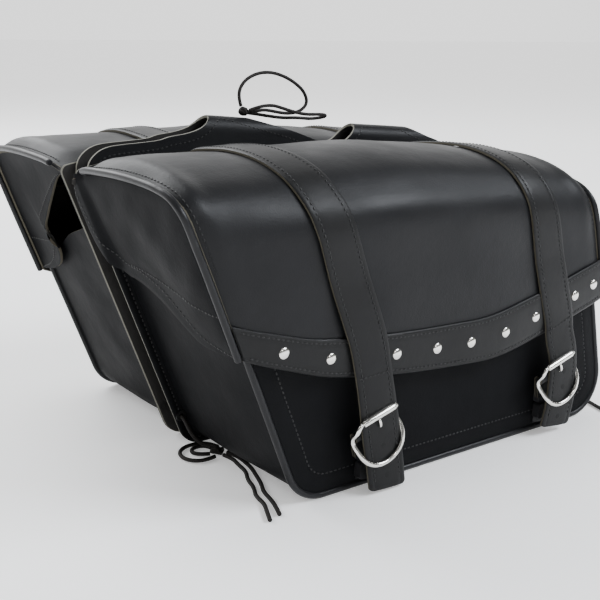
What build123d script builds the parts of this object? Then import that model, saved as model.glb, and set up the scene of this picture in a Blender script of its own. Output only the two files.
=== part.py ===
from build123d import *
import os
from math import atan, cos, sin, degrees, hypot, tan, radians

# A pair of throw-over saddlebags: two slant-sided leather bags, mirror images
# of each other about Plane.XZ, joined over the saddle by a laced yoke.
# Millimetres, +Z up.  The pair stands on its flat bottoms, Z = 0, with the
# origin in the middle of its footprint.
#
# Each bag is laid out in its own drawing: x along the lid's ridge, towards the
# front of the machine, z up from the ridge's rear end, and "out" the distance
# from the pair's mid-plane.  The drawing leans a little on the floor, because
# the ridge falls towards the front while the bottom is level.

os.makedirs("parts", exist_ok=True)

# ---------------------------------------------------------------- dimensions
strap_width = 39.0          # straps, measured along the bag
leather = 4.0               # wall of the bag, two plies and a stiffener
gap_half = 14.0             # half the gap between the two back panels
front_out = 181.0           # outer face of the front panel
lean = 0.092                # fall of the ridge against the bottom
rear_slope, rear_edge = 0.48, -48.0       # rear end wall: x = edge - slope * z
fore_slope, fore_edge = 0.306, 390.3      # front end wall
bottom_z, bottom_x = -244.5, 69.5         # rear bottom corner of the body
seam_proud = 3.5            # flange and piping below the body's bottom
hinge_z = 33.0              # lid hinge, along the back panel's top edge
yoke_thickness = 3.0
yoke_radius = 13.5          # outside of the yoke's arch
yoke_crown = 58.0           # top of the arch in the drawing
bar_out, roller_out, bow_out = 195.0, 204.4, 203.3   # buckle, out from the mid-plane
lace_radius, tie_radius = 1.6, 1.9        # yoke's lace and the tie laces
origin_x, origin_z = -188.54, 253.324      # drawing to part

c, s = cos(atan(lean)), sin(atan(lean))


def at(x, z):
    """A point of the drawing, in the part's XZ plane."""
    return (x * c + z * s + origin_x, -x * s + z * c + origin_z)


def p3(x, out, z):
    """The same with its distance out from the mid-plane, on the right bag."""
    X, Z = at(x, z)
    return (X, -out, Z)


def rear(z):
    return rear_edge - rear_slope * z


def fore(z):
    return fore_edge - fore_slope * z


def bottom(x):
    return bottom_z + lean * (x - bottom_x)


def blend_of(table, x):
    """Straight-line reading of a table of (x, value)."""
    if x <= table[0][0]:
        return table[0][1]
    for (a, u), (b, v) in zip(table, table[1:]):
        if x <= b:
            return u + (v - u) * (x - a) / (b - a)
    return table[-1][1]


def offset_line(points, d):
    """Open polyline moved d to its left."""
    moved = []
    for i, (a, b) in enumerate(points):
        before = points[max(i - 1, 0)]
        after = points[min(i + 1, len(points) - 1)]
        tx, tz = after[0] - before[0], after[1] - before[1]
        n = hypot(tx, tz)
        moved.append((a - tz / n * d, b + tx / n * d))
    return moved


def finish(part, name):
    part.label = name
    export_step(part, "parts/" + name + ".step")


def both(maker_part, name):
    """Write a right-hand piece and its mirror image."""
    finish(maker_part, "right_" + name)
    with BuildPart() as twin:
        mirror(maker_part, about=Plane.XZ)
    finish(twin.part, "left_" + name)


right = (c, 0, -s)                       # +x of the drawing
up = (s, 0, c)                           # +z of the drawing
side = Plane(origin=(0, 0, 0), x_dir=(1, 0, 0), z_dir=(0, -1, 0))

# ---------------------------------------------------------------- bag body
body_rear_top, body_fore_top = -10, -10
outline = [at(rear(-10), -10), at(bottom_x, bottom_z),
           at(454.3, bottom(454.3)), at(fore(-10), -10)]

with BuildPart() as gusset:
    with BuildSketch(side.offset(gap_half + leather)) as sk:
        with BuildLine():
            Polyline(*outline, close=True)
        make_face()
        fillet(sk.vertices().group_by(Axis.Y)[0], 34)
    extrude(amount=front_out - gap_half - 2 * leather)
    with BuildSketch(side.offset(gap_half + leather)) as sk:
        with BuildLine():
            Polyline(at(rear(40) + 4.6, 40), at(75, bottom(75) + 4.1),
                     at(450, bottom(450) + 4.1), at(fore(40) - 4.3, 40), close=True)
        make_face()
        fillet(sk.vertices().group_by(Axis.Y)[0], 30)
    extrude(amount=front_out - gap_half - 2 * leather, mode=Mode.SUBTRACT)
    # the end walls are cut away under the lid's ears
    with BuildSketch(Plane(origin=(0, 0, 0), x_dir=(0, -1, 0), z_dir=(-1, 0, 0))) as sk:
        with BuildLine():
            Polyline(*[(o, at(rear(z), z)[1]) for o, z in
                       ((0, -27), (18, -30), (45, -48), (90, -62), (120, -76),
                        (150, -95), (200, -101))],
                     (200, 400), (0, 400), close=True)
        make_face()
    extrude(amount=300, mode=Mode.SUBTRACT)
    with BuildSketch(Plane(origin=(0, 0, 0), x_dir=(0, 1, 0), z_dir=(1, 0, 0))) as sk:
        with BuildLine():
            Polyline(*[(-o, at(fore(z), z)[1]) for o, z in
                       ((0, -25), (18, -27), (45, -40), (90, -50), (120, -58),
                        (150, -70), (200, -76))],
                     (-200, 400), (0, 400), close=True)
        make_face()
    extrude(amount=300, mode=Mode.SUBTRACT)
both(gusset.part, "gusset")

with BuildPart() as front_panel:
    with BuildSketch(side.offset(front_out - leather)) as sk:
        with BuildLine():
            Polyline(at(2, -26), at(2, -97), at(rear(-99), -99), at(bottom_x, bottom_z),
                     at(454.3, bottom(454.3)), at(fore(-26), -26), close=True)
        make_face()
        fillet(sk.vertices().group_by(Axis.Y)[0], 34)
    extrude(amount=leather)
both(front_panel.part, "front_panel")

with BuildPart() as back_panel:
    with BuildSketch(side.offset(gap_half)) as sk:
        with BuildLine():
            Polyline(at(rear(8) - 13, 8), at(rear(-248) - 13, bottom(rear(-248) - 13) - seam_proud),
                     at(468, bottom(468) - seam_proud), at(fore(8) + 13, 8),
                     at(363, 30), at(280, 35.5), at(135, 34), at(60, 28), at(-20, 20),
                     close=True)
        make_face()
        fillet(sk.vertices().group_by(Axis.Y)[0], 24)
    extrude(amount=leather)
    for hole_x, hole_z in ((50, -218), (453.5, -185)):
        with BuildSketch(side.offset(gap_half)):
            with Locations(at(hole_x, hole_z)):
                Circle(3.6)
        extrude(amount=leather, mode=Mode.SUBTRACT)
both(back_panel.part, "back_panel")

with BuildPart() as back_board:
    with BuildSketch(side.offset(gap_half + leather + 0.2)) as sk:
        with BuildLine():
            Polyline(at(rear(-28) + 12, -28), at(77, bottom(77) + 9),
                     at(440, bottom(440) + 9), at(fore(-28) - 12, -28), close=True)
        make_face()
        fillet(sk.vertices().group_by(Axis.Y)[0], 26)
    extrude(amount=2.4)
both(back_board.part, "back_board")

with BuildPart() as grommets:
    for hole_x, hole_z in ((50, -218), (453.5, -185)):
        with BuildSketch(side.offset(gap_half)):
            with Locations(at(hole_x, hole_z)):
                Circle(3.5)
        extrude(amount=leather + 1.2)
        with BuildSketch(side.offset(gap_half + leather + 0.05)):
            with Locations(at(hole_x, hole_z)):
                Circle(5.2)
        extrude(amount=1.15)
        with BuildSketch(side.offset(gap_half)):
            with Locations(at(hole_x, hole_z)):
                Circle(2.6)
        extrude(amount=10, mode=Mode.SUBTRACT)
both(grommets.part, "tie_grommets")

with BuildPart() as front_piping:
    with BuildSketch(side.offset(front_out - 5)) as sk:
        with BuildLine():
            Polyline(at(rear(-60) - 3.7, -60), at(64, bottom(64) - seam_proud),
                     at(459, bottom(459) - seam_proud), at(fore(-60) + 3.6, -60), close=True)
        make_face()
        fillet(sk.vertices().group_by(Axis.Y)[0], 36)
        with BuildLine():
            Polyline(at(-60, -101), at(430, -76), at(480, -76), at(480, 0), at(-60, 0),
                     close=True)
        make_face(mode=Mode.SUBTRACT)
    extrude(amount=7)
    # the bead lies round the outside of the body
    with BuildSketch(side.offset(front_out - 5)) as sk:
        with BuildLine():
            Polyline(*outline, close=True)
        make_face()
        fillet(sk.vertices().group_by(Axis.Y)[0], 34)
        offset(amount=0.15)
    extrude(amount=7, mode=Mode.SUBTRACT)
both(front_piping.part, "front_piping")

# ---------------------------------------------------------------- lid
# Stations along the ridge: how far the section leans, height of the back edge,
# rise of the crown, front face, lower edge.
leans = [(-55, .48), (200, .38), (397, .306)]
backs = [(-55, 8), (-30, 12), (30, 18), (110, 26), (200, 32), (300, 33), (370, 28), (397, 8)]
rises = [(-55, .55), (-30, .85), (30, 1), (370, 1), (397, .6)]
fronts = [(-55, 188.5), (-30, 190), (30, 192), (110, 194), (200, 194.5), (300, 192), (370, 190), (397, 188)]
lowers = [(-55, -116), (-30, -124), (30, -137), (110, -140), (200, -138), (300, -118), (370, -98), (397, -90)]


def lid_line(x):
    """Outer line of the lid's section at x, from back edge to lower edge."""
    b, r, f, low = (blend_of(t, x) for t in (backs, rises, fronts, lowers))
    return [(19.5, b), (38, b + 8 * r), (62, b + 11.5 * r), (98, b + 14 * r), (128, b + 12 * r),
            (150, b + 7 * r), (168, b - 1), (180, b - 12), (f - 2, b - 30), (f - 1, -47), (f, low)]


def drawn(x, points):
    """Section points (out, z) at a station, as points in space."""
    m = blend_of(leans, x)
    return [p3(x - m * z, o, z) for o, z in points]


def section_plane(x):
    m = blend_of(leans, x)
    X, Z = at(x, 0)
    n = hypot(1, m)
    slant = Vector(*[(u - m * r) / n for u, r in zip(up, right)])
    across = Vector(0, -1, 0)
    return Plane(origin=(X, 0, Z), x_dir=across, z_dir=across.cross(slant)), n


stations = (-54.7, -30, 30, 110, 200, 300, 370, 396.6)
with BuildPart() as lid_cover:
    for pair in zip(stations, stations[1:]):
        for x in pair:
            plane, n = section_plane(x)
            outer = lid_line(x)
            inner = offset_line(outer, -3.4)
            inner[-1] = (inner[-1][0], outer[-1][1])
            with BuildSketch(plane):
                with BuildLine():
                    Polyline(*[(o, z * n) for o, z in outer + inner[::-1]], close=True)
                make_face()
        loft(ruled=True)
both(lid_cover.part, "lid_cover")

rear_ear = [(19.5, 4), (19.5, -20), (30, -40), (45, -60), (90, -75), (120, -88), (150, -108),
            (186, -112), (186, -35), (183, -12), (165, 2), (144, 10), (116, 14), (60, 14), (30, 11)]
fore_ear = [(19.5, 4), (19.5, -18), (30, -34), (45, -48), (90, -60), (120, -69), (150, -82),
            (185, -86), (185, -35), (182, -12), (165, 2), (144, 10), (116, 14), (60, 14), (30, 11)]
n_rear, n_fore = hypot(1, rear_slope), hypot(1, fore_slope)
plane_rear = Plane(origin=(at(rear_edge, 0)[0], 0, at(rear_edge, 0)[1]), x_dir=(0, -1, 0),
                   z_dir=tuple((-r - rear_slope * u) / n_rear for r, u in zip(right, up)))
plane_fore = Plane(origin=(at(fore_edge, 0)[0], 0, at(fore_edge, 0)[1]), x_dir=(0, 1, 0),
                   z_dir=tuple((r + fore_slope * u) / n_fore for r, u in zip(right, up)))

with BuildPart() as ear_rear:
    with BuildSketch(plane_rear.offset(6.4)):
        with BuildLine():
            Polyline(*[(o, z * n_rear) for o, z in rear_ear], close=True)
        make_face()
    extrude(amount=3.4)
both(ear_rear.part, "lid_end_rear")

with BuildPart() as ear_fore:
    with BuildSketch(plane_fore.offset(6.4)):
        with BuildLine():
            Polyline(*[(-o, z * n_fore) for o, z in fore_ear], close=True)
        make_face()
    extrude(amount=3.4)
both(ear_fore.part, "lid_end_front")

with BuildPart() as lid_piping:
    for plane, n, ear, sign in ((plane_rear, n_rear, rear_ear, 1), (plane_fore, n_fore, fore_ear, -1)):
        rim = ear[:6:-1]
        inside = offset_line(rim, 0.15)
        outside = offset_line(rim, 3.4)
        with BuildSketch(plane.offset(6.6)):
            with BuildLine():
                Polyline(*[(sign * o, z * n) for o, z in inside + outside[::-1]], close=True)
            make_face()
        extrude(amount=3.6)
both(lid_piping.part, "lid_piping")

band_stations = (-52, -30, 30, 110, 200, 300, 370, 394)
with BuildPart() as lid_band:
    for pair in zip(band_stations, band_stations[1:]):
        for x in pair:
            plane, n = section_plane(x)
            f, low = blend_of(fronts, x), blend_of(lowers, x)
            with BuildSketch(plane):
                with BuildLine():
                    Polyline((f + .25, low * n), (f + 2.2, low * n), (f + 2.2, (low + 34) * n),
                             (f + .25, (low + 34) * n), close=True)
                make_face()
        loft(ruled=True)
both(lid_band.part, "lid_band")

stud_spots = [(-19, 19), (36, 19), (97, 15), (151, 14), (194, 14), (241, 14), (286, 14), (348, 13), (376, 14)]
with BuildPart() as lid_studs:
    for x, h in stud_spots:
        m, f, low = (blend_of(t, x) for t in (leans, fronts, lowers))
        z = low + h
        X, Z = at(x - m * z, z)
        with BuildSketch(side.offset(f + 2.9)):
            with Locations((X, Z)):
                Circle(5)
        extrude(amount=2.8, taper=24)
both(lid_studs.part, "lid_studs")

# ---------------------------------------------------------------- straps
def strap(station, lower_run, holes):
    """A strap over the lid at a station, then down lower_run of (x, out, z)."""
    path = offset_line(lid_line(station), 4.2)
    path[0] = (21, path[0][1] + 1.2)
    path = path[:-1] + [(path[-2][0] + 1.4, -78), (blend_of(fronts, station) + 5.2, -112)]
    m = blend_of(leans, station)
    spots = [(station - m * z, o, z) for o, z in path] + lower_run
    line = [(o, z) for x, o, z in spots]
    top = max(z for o, z in line) + 10
    seen = [(station - m * top, top)] + [(x, z) for x, o, z in spots if z < 0]
    with BuildPart() as piece:
        # the strap's thickness, drawn in section and run along the bag
        with BuildSketch(Plane(origin=p3(-100, 0, 0), x_dir=(0, -1, 0), z_dir=tuple(-r for r in right))):
            with BuildLine():
                Polyline(*offset_line(line, 1.4), *offset_line(line, -1.4)[::-1], close=True)
            make_face()
        extrude(amount=-600)
        # and its width, cut in the front view
        with BuildSketch(side):
            with BuildLine():
                Polyline(*[at(x - strap_width / 2, z) for x, z in seen],
                         *[at(x + strap_width / 2, z) for x, z in seen[::-1]], close=True)
            make_face()
        extrude(amount=300, mode=Mode.INTERSECT)
        for x, z, r in holes:
            with BuildSketch(side.offset(185)):
                with Locations(at(x, z)):
                    Circle(r)
            extrude(amount=30, mode=Mode.SUBTRACT)
    return piece.part


# Buckles: middle of the centre bar, turned to lie square across the strap.
turn = radians(20.5)
buckles = {"rear": (132.0, -183.2, 0.0), "front": (357.0, -158.0, 3.0)}
rear_run = [(122, 198.6, -136), (126, 199.5, -155), (132, 199.5, -176), (137, 199.5, -192),
            (144, 199.6, -214), (150, 200.6, -235.5)]
front_run = [(353, 197.4, -118), (358, 199.5, -135), (360, 199.5, -150), (361, 199.5, -166),
             (361.5, 199.5, -190), (361, 198, -214)]
both(strap(67, rear_run, [(132.7, -181.3, 3.2), (139.5, -200, 2.6), (148, -228, 2.6)]), "lid_strap_rear")
both(strap(315, front_run, [(357.7, -156.1, 3.2), (360, -172, 2.6), (361.5, -188, 2.6), (361, -204, 2.6)]),
     "lid_strap_front")


def on_buckle(name, u, v, out):
    """Point u along the centre bar, v below it towards the bow."""
    x, z, _ = buckles[name]
    return p3(x + u * cos(turn) + v * sin(turn), out, z + u * sin(turn) - v * cos(turn))


def rod(a, b, r):
    """Round bar from a to b, added to the piece being made."""
    a, b = Vector(*a), Vector(*b)
    with BuildSketch(Plane(origin=a, z_dir=b - a)) as end:
        Circle(r)
    extrude(end.sketch, amount=(b - a).length)


with BuildPart() as frames:
    for name, (x, z, shift) in buckles.items():
        q = lambda u, v, o: on_buckle(name, u, v, o)
        ends = [q(-18 + shift, -14, roller_out), q(19 + shift, -14, roller_out)]
        bar = [q(-26.5, 0, bar_out), q(26.5, 0, bar_out)]
        rod(bar[0], bar[1], 1.8)
        rod(ends[0], ends[1], 1.6)
        loop = [ends[0], q(-24 + shift / 2, -8.5, 203.8), bar[0], q(-26, 9, 199.2), q(-22, 21, bow_out), q(-12, 30, bow_out), q(0, 33.5, bow_out),
                q(12, 30, bow_out), q(22, 21, bow_out), q(26, 9, 199.2), bar[1],
                q(26.4 + shift / 2, -4.5, 204.6), ends[1]]
        for a, b in zip(loop, loop[1:]):
            rod(a, b, 1.9)
        for a in loop[1:-1]:
            with Locations(a):
                Sphere(1.9)
        for a in (ends[0], ends[1]):
            with Locations(a):
                Sphere(1.9)
both(frames.part, "buckle_frames")

for name, (x, z, shift) in buckles.items():
    with BuildPart() as roller:
        a, b = on_buckle(name, -15.4 + shift, -14, roller_out), on_buckle(name, 16.4 + shift, -14, roller_out)
        with BuildSketch(Plane(origin=a, z_dir=Vector(*b) - Vector(*a))):
            Circle(3.0)
            Circle(1.7, mode=Mode.SUBTRACT)
        extrude(amount=31.8)
    both(roller.part, "buckle_roller_" + name)

    with BuildPart() as prong:
        a, b = on_buckle(name, -2.8, 0, bar_out), on_buckle(name, 2.8, 0, bar_out)
        rod(a, b, 2.9)
        rod(on_buckle(name, 0, -1.4, bar_out + 2), on_buckle(name, 0, -2.4, bar_out + 8.2), 1.3)
        with Locations(on_buckle(name, 0, -2.4, bar_out + 8.2)):
            Sphere(1.3)
        rod(on_buckle(name, 0, -2.4, bar_out + 8.2), on_buckle(name, 0, -9.4, bar_out + 8.6), 1.3)
        with BuildSketch(Plane(origin=a, z_dir=Vector(*b) - Vector(*a)).offset(-1)):
            Circle(1.9)
        extrude(amount=10, mode=Mode.SUBTRACT)
    both(prong.part, "buckle_prong_" + name)

with BuildPart() as chapes:
    for name in buckles:
        for u in (-13, 13):
            a, b = on_buckle(name, u - 8, 0, bar_out), on_buckle(name, u + 8, 0, bar_out)
            rod(a, b, 3.0)
        for u in (-13, 13):
            a, b = on_buckle(name, u - 8, 0, bar_out), on_buckle(name, u + 8, 0, bar_out)
            with BuildSketch(Plane(origin=on_buckle(name, u, 0, bar_out - 3.0), x_dir=Vector(*b) - Vector(*a),
                                   z_dir=(0, 1, 0))):
                with Locations((0, -6.5)):
                    Rectangle(16, 13)
            extrude(amount=-1.0)
        with BuildSketch(Plane(origin=on_buckle(name, 0, 14, bar_out - 4.4), x_dir=right, z_dir=(0, -1, 0))):
            Rectangle(42, 12)
        extrude(amount=1.8)
        a, b = on_buckle(name, -40, 0, bar_out), on_buckle(name, 40, 0, bar_out)
        with BuildSketch(Plane(origin=a, z_dir=Vector(*b) - Vector(*a))):
            Circle(1.95)
        extrude(amount=80, mode=Mode.SUBTRACT)
        with BuildSketch(Plane(origin=on_buckle(name, 0, 5, bar_out + 8), x_dir=Vector(*b) - Vector(*a),
                               z_dir=(0, -1, 0))):
            with Locations((0, 5)):
                Rectangle(7.5, 16)
        extrude(amount=-30, mode=Mode.SUBTRACT)
both(chapes.part, "buckle_chapes")

# Side-squeeze clips behind the buckles, hidden by the billets.
clip_spots = [(139.0, -208.5), (361.0, -184.0)]
with BuildPart() as clip_males:
    for x, z in clip_spots:
        with BuildSketch(side.offset(183.4)) as sk:
            with Locations(Location((*at(x, z), 0), (0, 0, -degrees(atan(lean))))):
                RectangleRounded(32, 14, 3)
        extrude(amount=6.6)
both(clip_males.part, "clip_males")

with BuildPart() as clip_females:
    for x, z in clip_spots:
        with BuildSketch(side.offset(183.4)) as sk:
            with Locations(Location((*at(x + 2, z - 15.2), 0), (0, 0, -degrees(atan(lean))))):
                RectangleRounded(34, 15.4, 3)
        extrude(amount=8)
both(clip_females.part, "clip_females")

with BuildPart() as tethers:
    for x, z in clip_spots:
        with BuildSketch(side.offset(front_out + 0.1)) as sk:
            with Locations(Location((*at(x + 1, z - 10.5), 0), (0, 0, -degrees(atan(lean))))):
                Rectangle(25, 30 if z < -200 else 38)
        extrude(amount=2.2)
both(tethers.part, "tether_straps")

# ---------------------------------------------------------------- yoke
yoke_edge = [(-50, 15), (-47, 18), (-41, 23), (-30, 28), (-18, 30), (-2, 32), (17, 35), (26, 38),
             (43, 42), (56, 47), (66, 54), (74, 62), (90, 62), (118, 57), (160, 48), (190, 40),
             (207, 37.5), (219, 39), (228, 44), (236, 52), (243, 62), (300, 62), (318, 54), (334, 49),
             (352, 45), (362, 40), (366, 35)]
centre_z = yoke_crown - yoke_radius
with BuildPart() as yoke_right:
    # arch in section, swept the whole length, then cut to the side view's outline
    r_out, r_in, d = yoke_radius, yoke_radius - yoke_thickness, radians(45)
    with BuildSketch(Plane(origin=p3(-60, 0, 0), x_dir=(0, -1, 0), z_dir=tuple(-r for r in right))):
        with BuildLine():
            Line((r_out, centre_z - 60), (r_out, centre_z))
            ThreePointArc((r_out, centre_z), (r_out * cos(d), centre_z + r_out * sin(d)),
                          (0.3, centre_z + (r_out ** 2 - 0.09) ** 0.5))
            Line((0.3, centre_z + (r_out ** 2 - 0.09) ** 0.5), (0.3, centre_z + (r_in ** 2 - 0.09) ** 0.5))
            ThreePointArc((0.3, centre_z + (r_in ** 2 - 0.09) ** 0.5),
                          (r_in * cos(d), centre_z + r_in * sin(d)), (r_in, centre_z))
            Line((r_in, centre_z), (r_in, centre_z - 60))
            Line((r_in, centre_z - 60), (r_out, centre_z - 60))
        make_face()
    extrude(amount=-440)
    with BuildSketch(side.offset(-5)):
        with BuildLine():
            Polyline(*[at(x, z) for x, z in yoke_edge],
                     at(363, 32.3), at(280, 37.7), at(135, 36.2), at(60, 30.2), at(-20, 22.2),
                     close=True)
        make_face()
    extrude(amount=30, mode=Mode.INTERSECT)
finish(yoke_right.part, "yoke_right")
with BuildPart() as yoke_left:
    mirror(yoke_right.part, about=Plane.XZ)
finish(yoke_left.part, "yoke_left")


def tube(points, r, name):
    """A lace: straight runs joined by tangent arcs, each as large as its runs allow."""
    pts = [Vector(*p) for p in points]
    radii, runs = [], [(b - a).length for a, b in zip(pts, pts[1:])]
    turns = []
    for i in range(1, len(pts) - 1):
        angle = (pts[i] - pts[i - 1]).get_angle(pts[i + 1] - pts[i])
        turns.append(angle)
        radii.append(0.45 * min(runs[i - 1], runs[i]) / tan(radians(angle) / 2))
    with BuildPart() as piece:
        with BuildLine() as route:
            FilletPolyline(*pts, radius=radii)
        first = pts[1] - pts[0]
        with BuildSketch(Plane(origin=pts[0], z_dir=first)):
            Circle(r)
        sweep()
    length = route.wires()[0].length
    print(f"{name}: length {length:.1f}, volume/section/length "
          f"{piece.part.volume / (3.14159 * r * r * length):.3f}, smallest radius {min(radii):.1f}, "
          f"largest turn {max(turns):.0f}, longest run {max(runs):.0f}")
    finish(piece.part, name)


def lay(x, out, lift):
    """A point lying on the floor under the drawing's x, lifted by its radius."""
    X, _ = at(x, bottom(x) - seam_proud)
    return (X, -out, lift)


# The yoke's lace: its knot sits on the crown, with one tall loop and one long flat one.
with BuildPart() as yoke_knot:
    with Locations(p3(109, 0, 63.3)):
        Sphere(5)
finish(yoke_knot.part, "yoke_knot")

tube([p3(x, o, z) for x, o, z in
      ((106.2, 0, 67.9), (102.5, -1, 77), (107, -2, 89), (119, -2, 97.5), (134, -1, 101), (150, 0, 99),
       (165, 1, 93), (177, 1, 85), (181.5, 1, 74.5), (174.5, 0, 66.8), (163, -2, 63.6), (150, -3.5, 64.3),
       (136, -3, 66), (125, -1, 64.6), (114.6, 0, 63.4))],
     lace_radius, "yoke_lace_loop")
tube([p3(x, o, z) for x, o, z in
      ((113, 4.1, 64.8), (122, 7, 69), (136, 7.8, 71), (149, 6.2, 68.6), (162, 4.8, 66), (178, 4.4, 64),
       (194, 4, 65), (204.5, 1.2, 64.8), (208, -3.6, 63), (204, -8.4, 61), (193, -9.9, 59.6),
       (178, -9, 60.2), (160, -9.4, 59), (142, -9, 60.2), (126, -7.4, 61.6), (113.2, -4.1, 62.2))],
     lace_radius, "yoke_lace_bight")

# The rear tie lace: out of the flange's hole, down to the floor, and tied in a
# bow whose loops and ends lie on the floor beside the bag's rear bottom edge.
with BuildPart() as tie_knot:
    with BuildSketch(Plane(origin=lay(72, 50, 0.3), x_dir=(1, 0, 0), z_dir=(0, 0, 1))):
        Ellipse(6, 8)
    extrude(amount=4.8, taper=8)
finish(tie_knot.part, "tie_knot")

tube([p3(50, 15.2, -218), p3(50, 22, -218), p3(51, 28, -223.5), p3(54.5, 34, -233.5),
      lay(61, 39.5, 9.6), lay(66.5, 43.5, 7.9), lay(70.5, 47.5, 7.3)], tie_radius, "tie_lead")
tube([lay(64.3, 58.5, 2.2), lay(54.5, 61, 2.2), lay(43.5, 56.5, 2.2), lay(38.5, 45, 2.2), lay(42, 31.5, 2.2),
      lay(53, 22.8, 2.2), lay(66.5, 22.2, 2.2), lay(76.5, 29.5, 2.2), lay(78.6, 40.6, 2.2)],
     tie_radius, "tie_loop_outer")
tube([lay(64, 50.5, 2.2), lay(57, 47.5, 2.2), lay(51.5, 40, 2.2), lay(55, 31.8, 2.2), lay(64, 29, 2.2),
      lay(71, 33, 2.2), lay(72.3, 40.2, 2.2)], tie_radius, "tie_loop_inner")
tube([lay(72.5, 60.4, 2.2), lay(75, 72, 2.2), lay(71.5, 86, 2.2), lay(69, 103, 2.2), lay(60.5, 118, 2.2),
      lay(56.5, 134, 2.2), lay(48, 149, 2.2), lay(46, 165, 2.2), lay(39.5, 178, 2.2), lay(33, 192, 2.2)],
     tie_radius, "tie_tail_inner")
tube([lay(78.6, 57.2, 2.2), lay(81.3, 69, 2.2), lay(80, 84, 2.2), lay(77, 100, 2.2), lay(71.5, 115, 2.2),
      lay(66, 131, 2.2), lay(58, 146, 2.2), lay(55, 161, 2.2), lay(50.5, 175, 2.2), lay(45, 188, 2.2)],
     tie_radius, "tie_tail_outer")
tube([p3(453.5, 15.2, -185), p3(453.5, 22, -185), p3(455.5, 28, -189.5), p3(460, 33.5, -198),
      lay(464.5, 42, 5.6), lay(467, 56, 2.3), lay(461.5, 74, 2.2), lay(464, 92, 2.2), lay(459.5, 110, 2.2),
      lay(461.5, 128, 2.2), lay(458, 146, 2.2), lay(458, 164, 2.2), lay(452.5, 180, 2.2), lay(449, 194, 2.2)],
     tie_radius, "tie_lace_front")
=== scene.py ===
import bpy
import bmesh
import random
from math import atan, cos, sin, pi, hypot, radians, exp, sqrt, asin, floor as ifloor
from mathutils import Vector, Matrix


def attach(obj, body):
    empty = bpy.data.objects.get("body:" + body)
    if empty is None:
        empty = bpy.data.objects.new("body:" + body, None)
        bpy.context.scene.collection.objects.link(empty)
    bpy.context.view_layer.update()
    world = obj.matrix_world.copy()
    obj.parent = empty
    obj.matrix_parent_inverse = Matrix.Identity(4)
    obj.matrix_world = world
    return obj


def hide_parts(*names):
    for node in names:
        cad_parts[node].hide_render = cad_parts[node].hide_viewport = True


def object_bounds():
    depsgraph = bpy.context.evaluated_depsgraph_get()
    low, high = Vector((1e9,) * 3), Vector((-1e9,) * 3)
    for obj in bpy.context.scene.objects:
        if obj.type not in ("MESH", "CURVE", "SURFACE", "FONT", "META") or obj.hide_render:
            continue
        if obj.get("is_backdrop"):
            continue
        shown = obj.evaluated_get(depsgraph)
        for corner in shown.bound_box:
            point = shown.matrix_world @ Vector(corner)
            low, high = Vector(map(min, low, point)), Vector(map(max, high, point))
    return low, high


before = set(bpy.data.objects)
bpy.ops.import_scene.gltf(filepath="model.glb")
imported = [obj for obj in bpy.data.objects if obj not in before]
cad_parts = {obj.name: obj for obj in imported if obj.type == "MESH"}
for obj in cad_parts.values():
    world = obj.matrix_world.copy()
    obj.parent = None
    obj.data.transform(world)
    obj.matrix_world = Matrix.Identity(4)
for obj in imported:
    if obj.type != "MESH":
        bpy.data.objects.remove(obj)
cad_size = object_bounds()

# ------------------------------------------------------------------ the shared drawing
# x along the lid's ridge, z up, "out" from the pair's mid-plane, millimetres
c, s = cos(atan(0.092)), sin(atan(0.092))
OX, OZ = -188.54, 253.324


def P(x, out, z, sg=-1):
    return Vector(((x * c + z * s + OX) / 1000, sg * out / 1000, (-x * s + z * c + OZ) / 1000))


def turned(v):
    return Vector((v[0] * c + v[2] * s, v[1], -v[0] * s + v[2] * c))


# ------------------------------------------------------------------ camera
yaw, pitch, roll = radians(37.4396), radians(11.5823), radians(4.55245)
fwd = Vector((sin(yaw) * cos(pitch), cos(yaw) * cos(pitch), -sin(pitch)))
r0 = Vector((cos(yaw), -sin(yaw), 0))
u0 = r0.cross(fwd)
r2 = cos(roll) * r0 + sin(roll) * u0
u2 = -sin(roll) * r0 + cos(roll) * u0
cam_data = bpy.data.cameras.new("camera")
cam_data.sensor_width = 36
cam_data.sensor_fit = "HORIZONTAL"
cam_data.lens = 1036.358 / 600 * 36
cam_data.clip_start, cam_data.clip_end = 0.05, 30
cam = bpy.data.objects.new("camera", cam_data)
bpy.context.scene.collection.objects.link(cam)
R, U, F = turned(r2), turned(u2), turned(fwd)
M = Matrix(((R.x, U.x, -F.x), (R.y, U.y, -F.y), (R.z, U.z, -F.z))).to_4x4()
M.translation = Vector((-0.60771, -0.811548, 0.38169))
cam.matrix_world = M
bpy.context.scene.camera = cam


# ------------------------------------------------------------------ materials
def nodes_of(name):
    m = bpy.data.materials.new(name)
    m.use_nodes = True
    nt = m.node_tree
    return m, nt, nt.nodes["Principled BSDF"]


def add(nt, kind, **values):
    n = nt.nodes.new(kind)
    for k, v in values.items():
        if k in n.inputs:
            n.inputs[k].default_value = v
        else:
            setattr(n, k, v)
    return n


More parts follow.
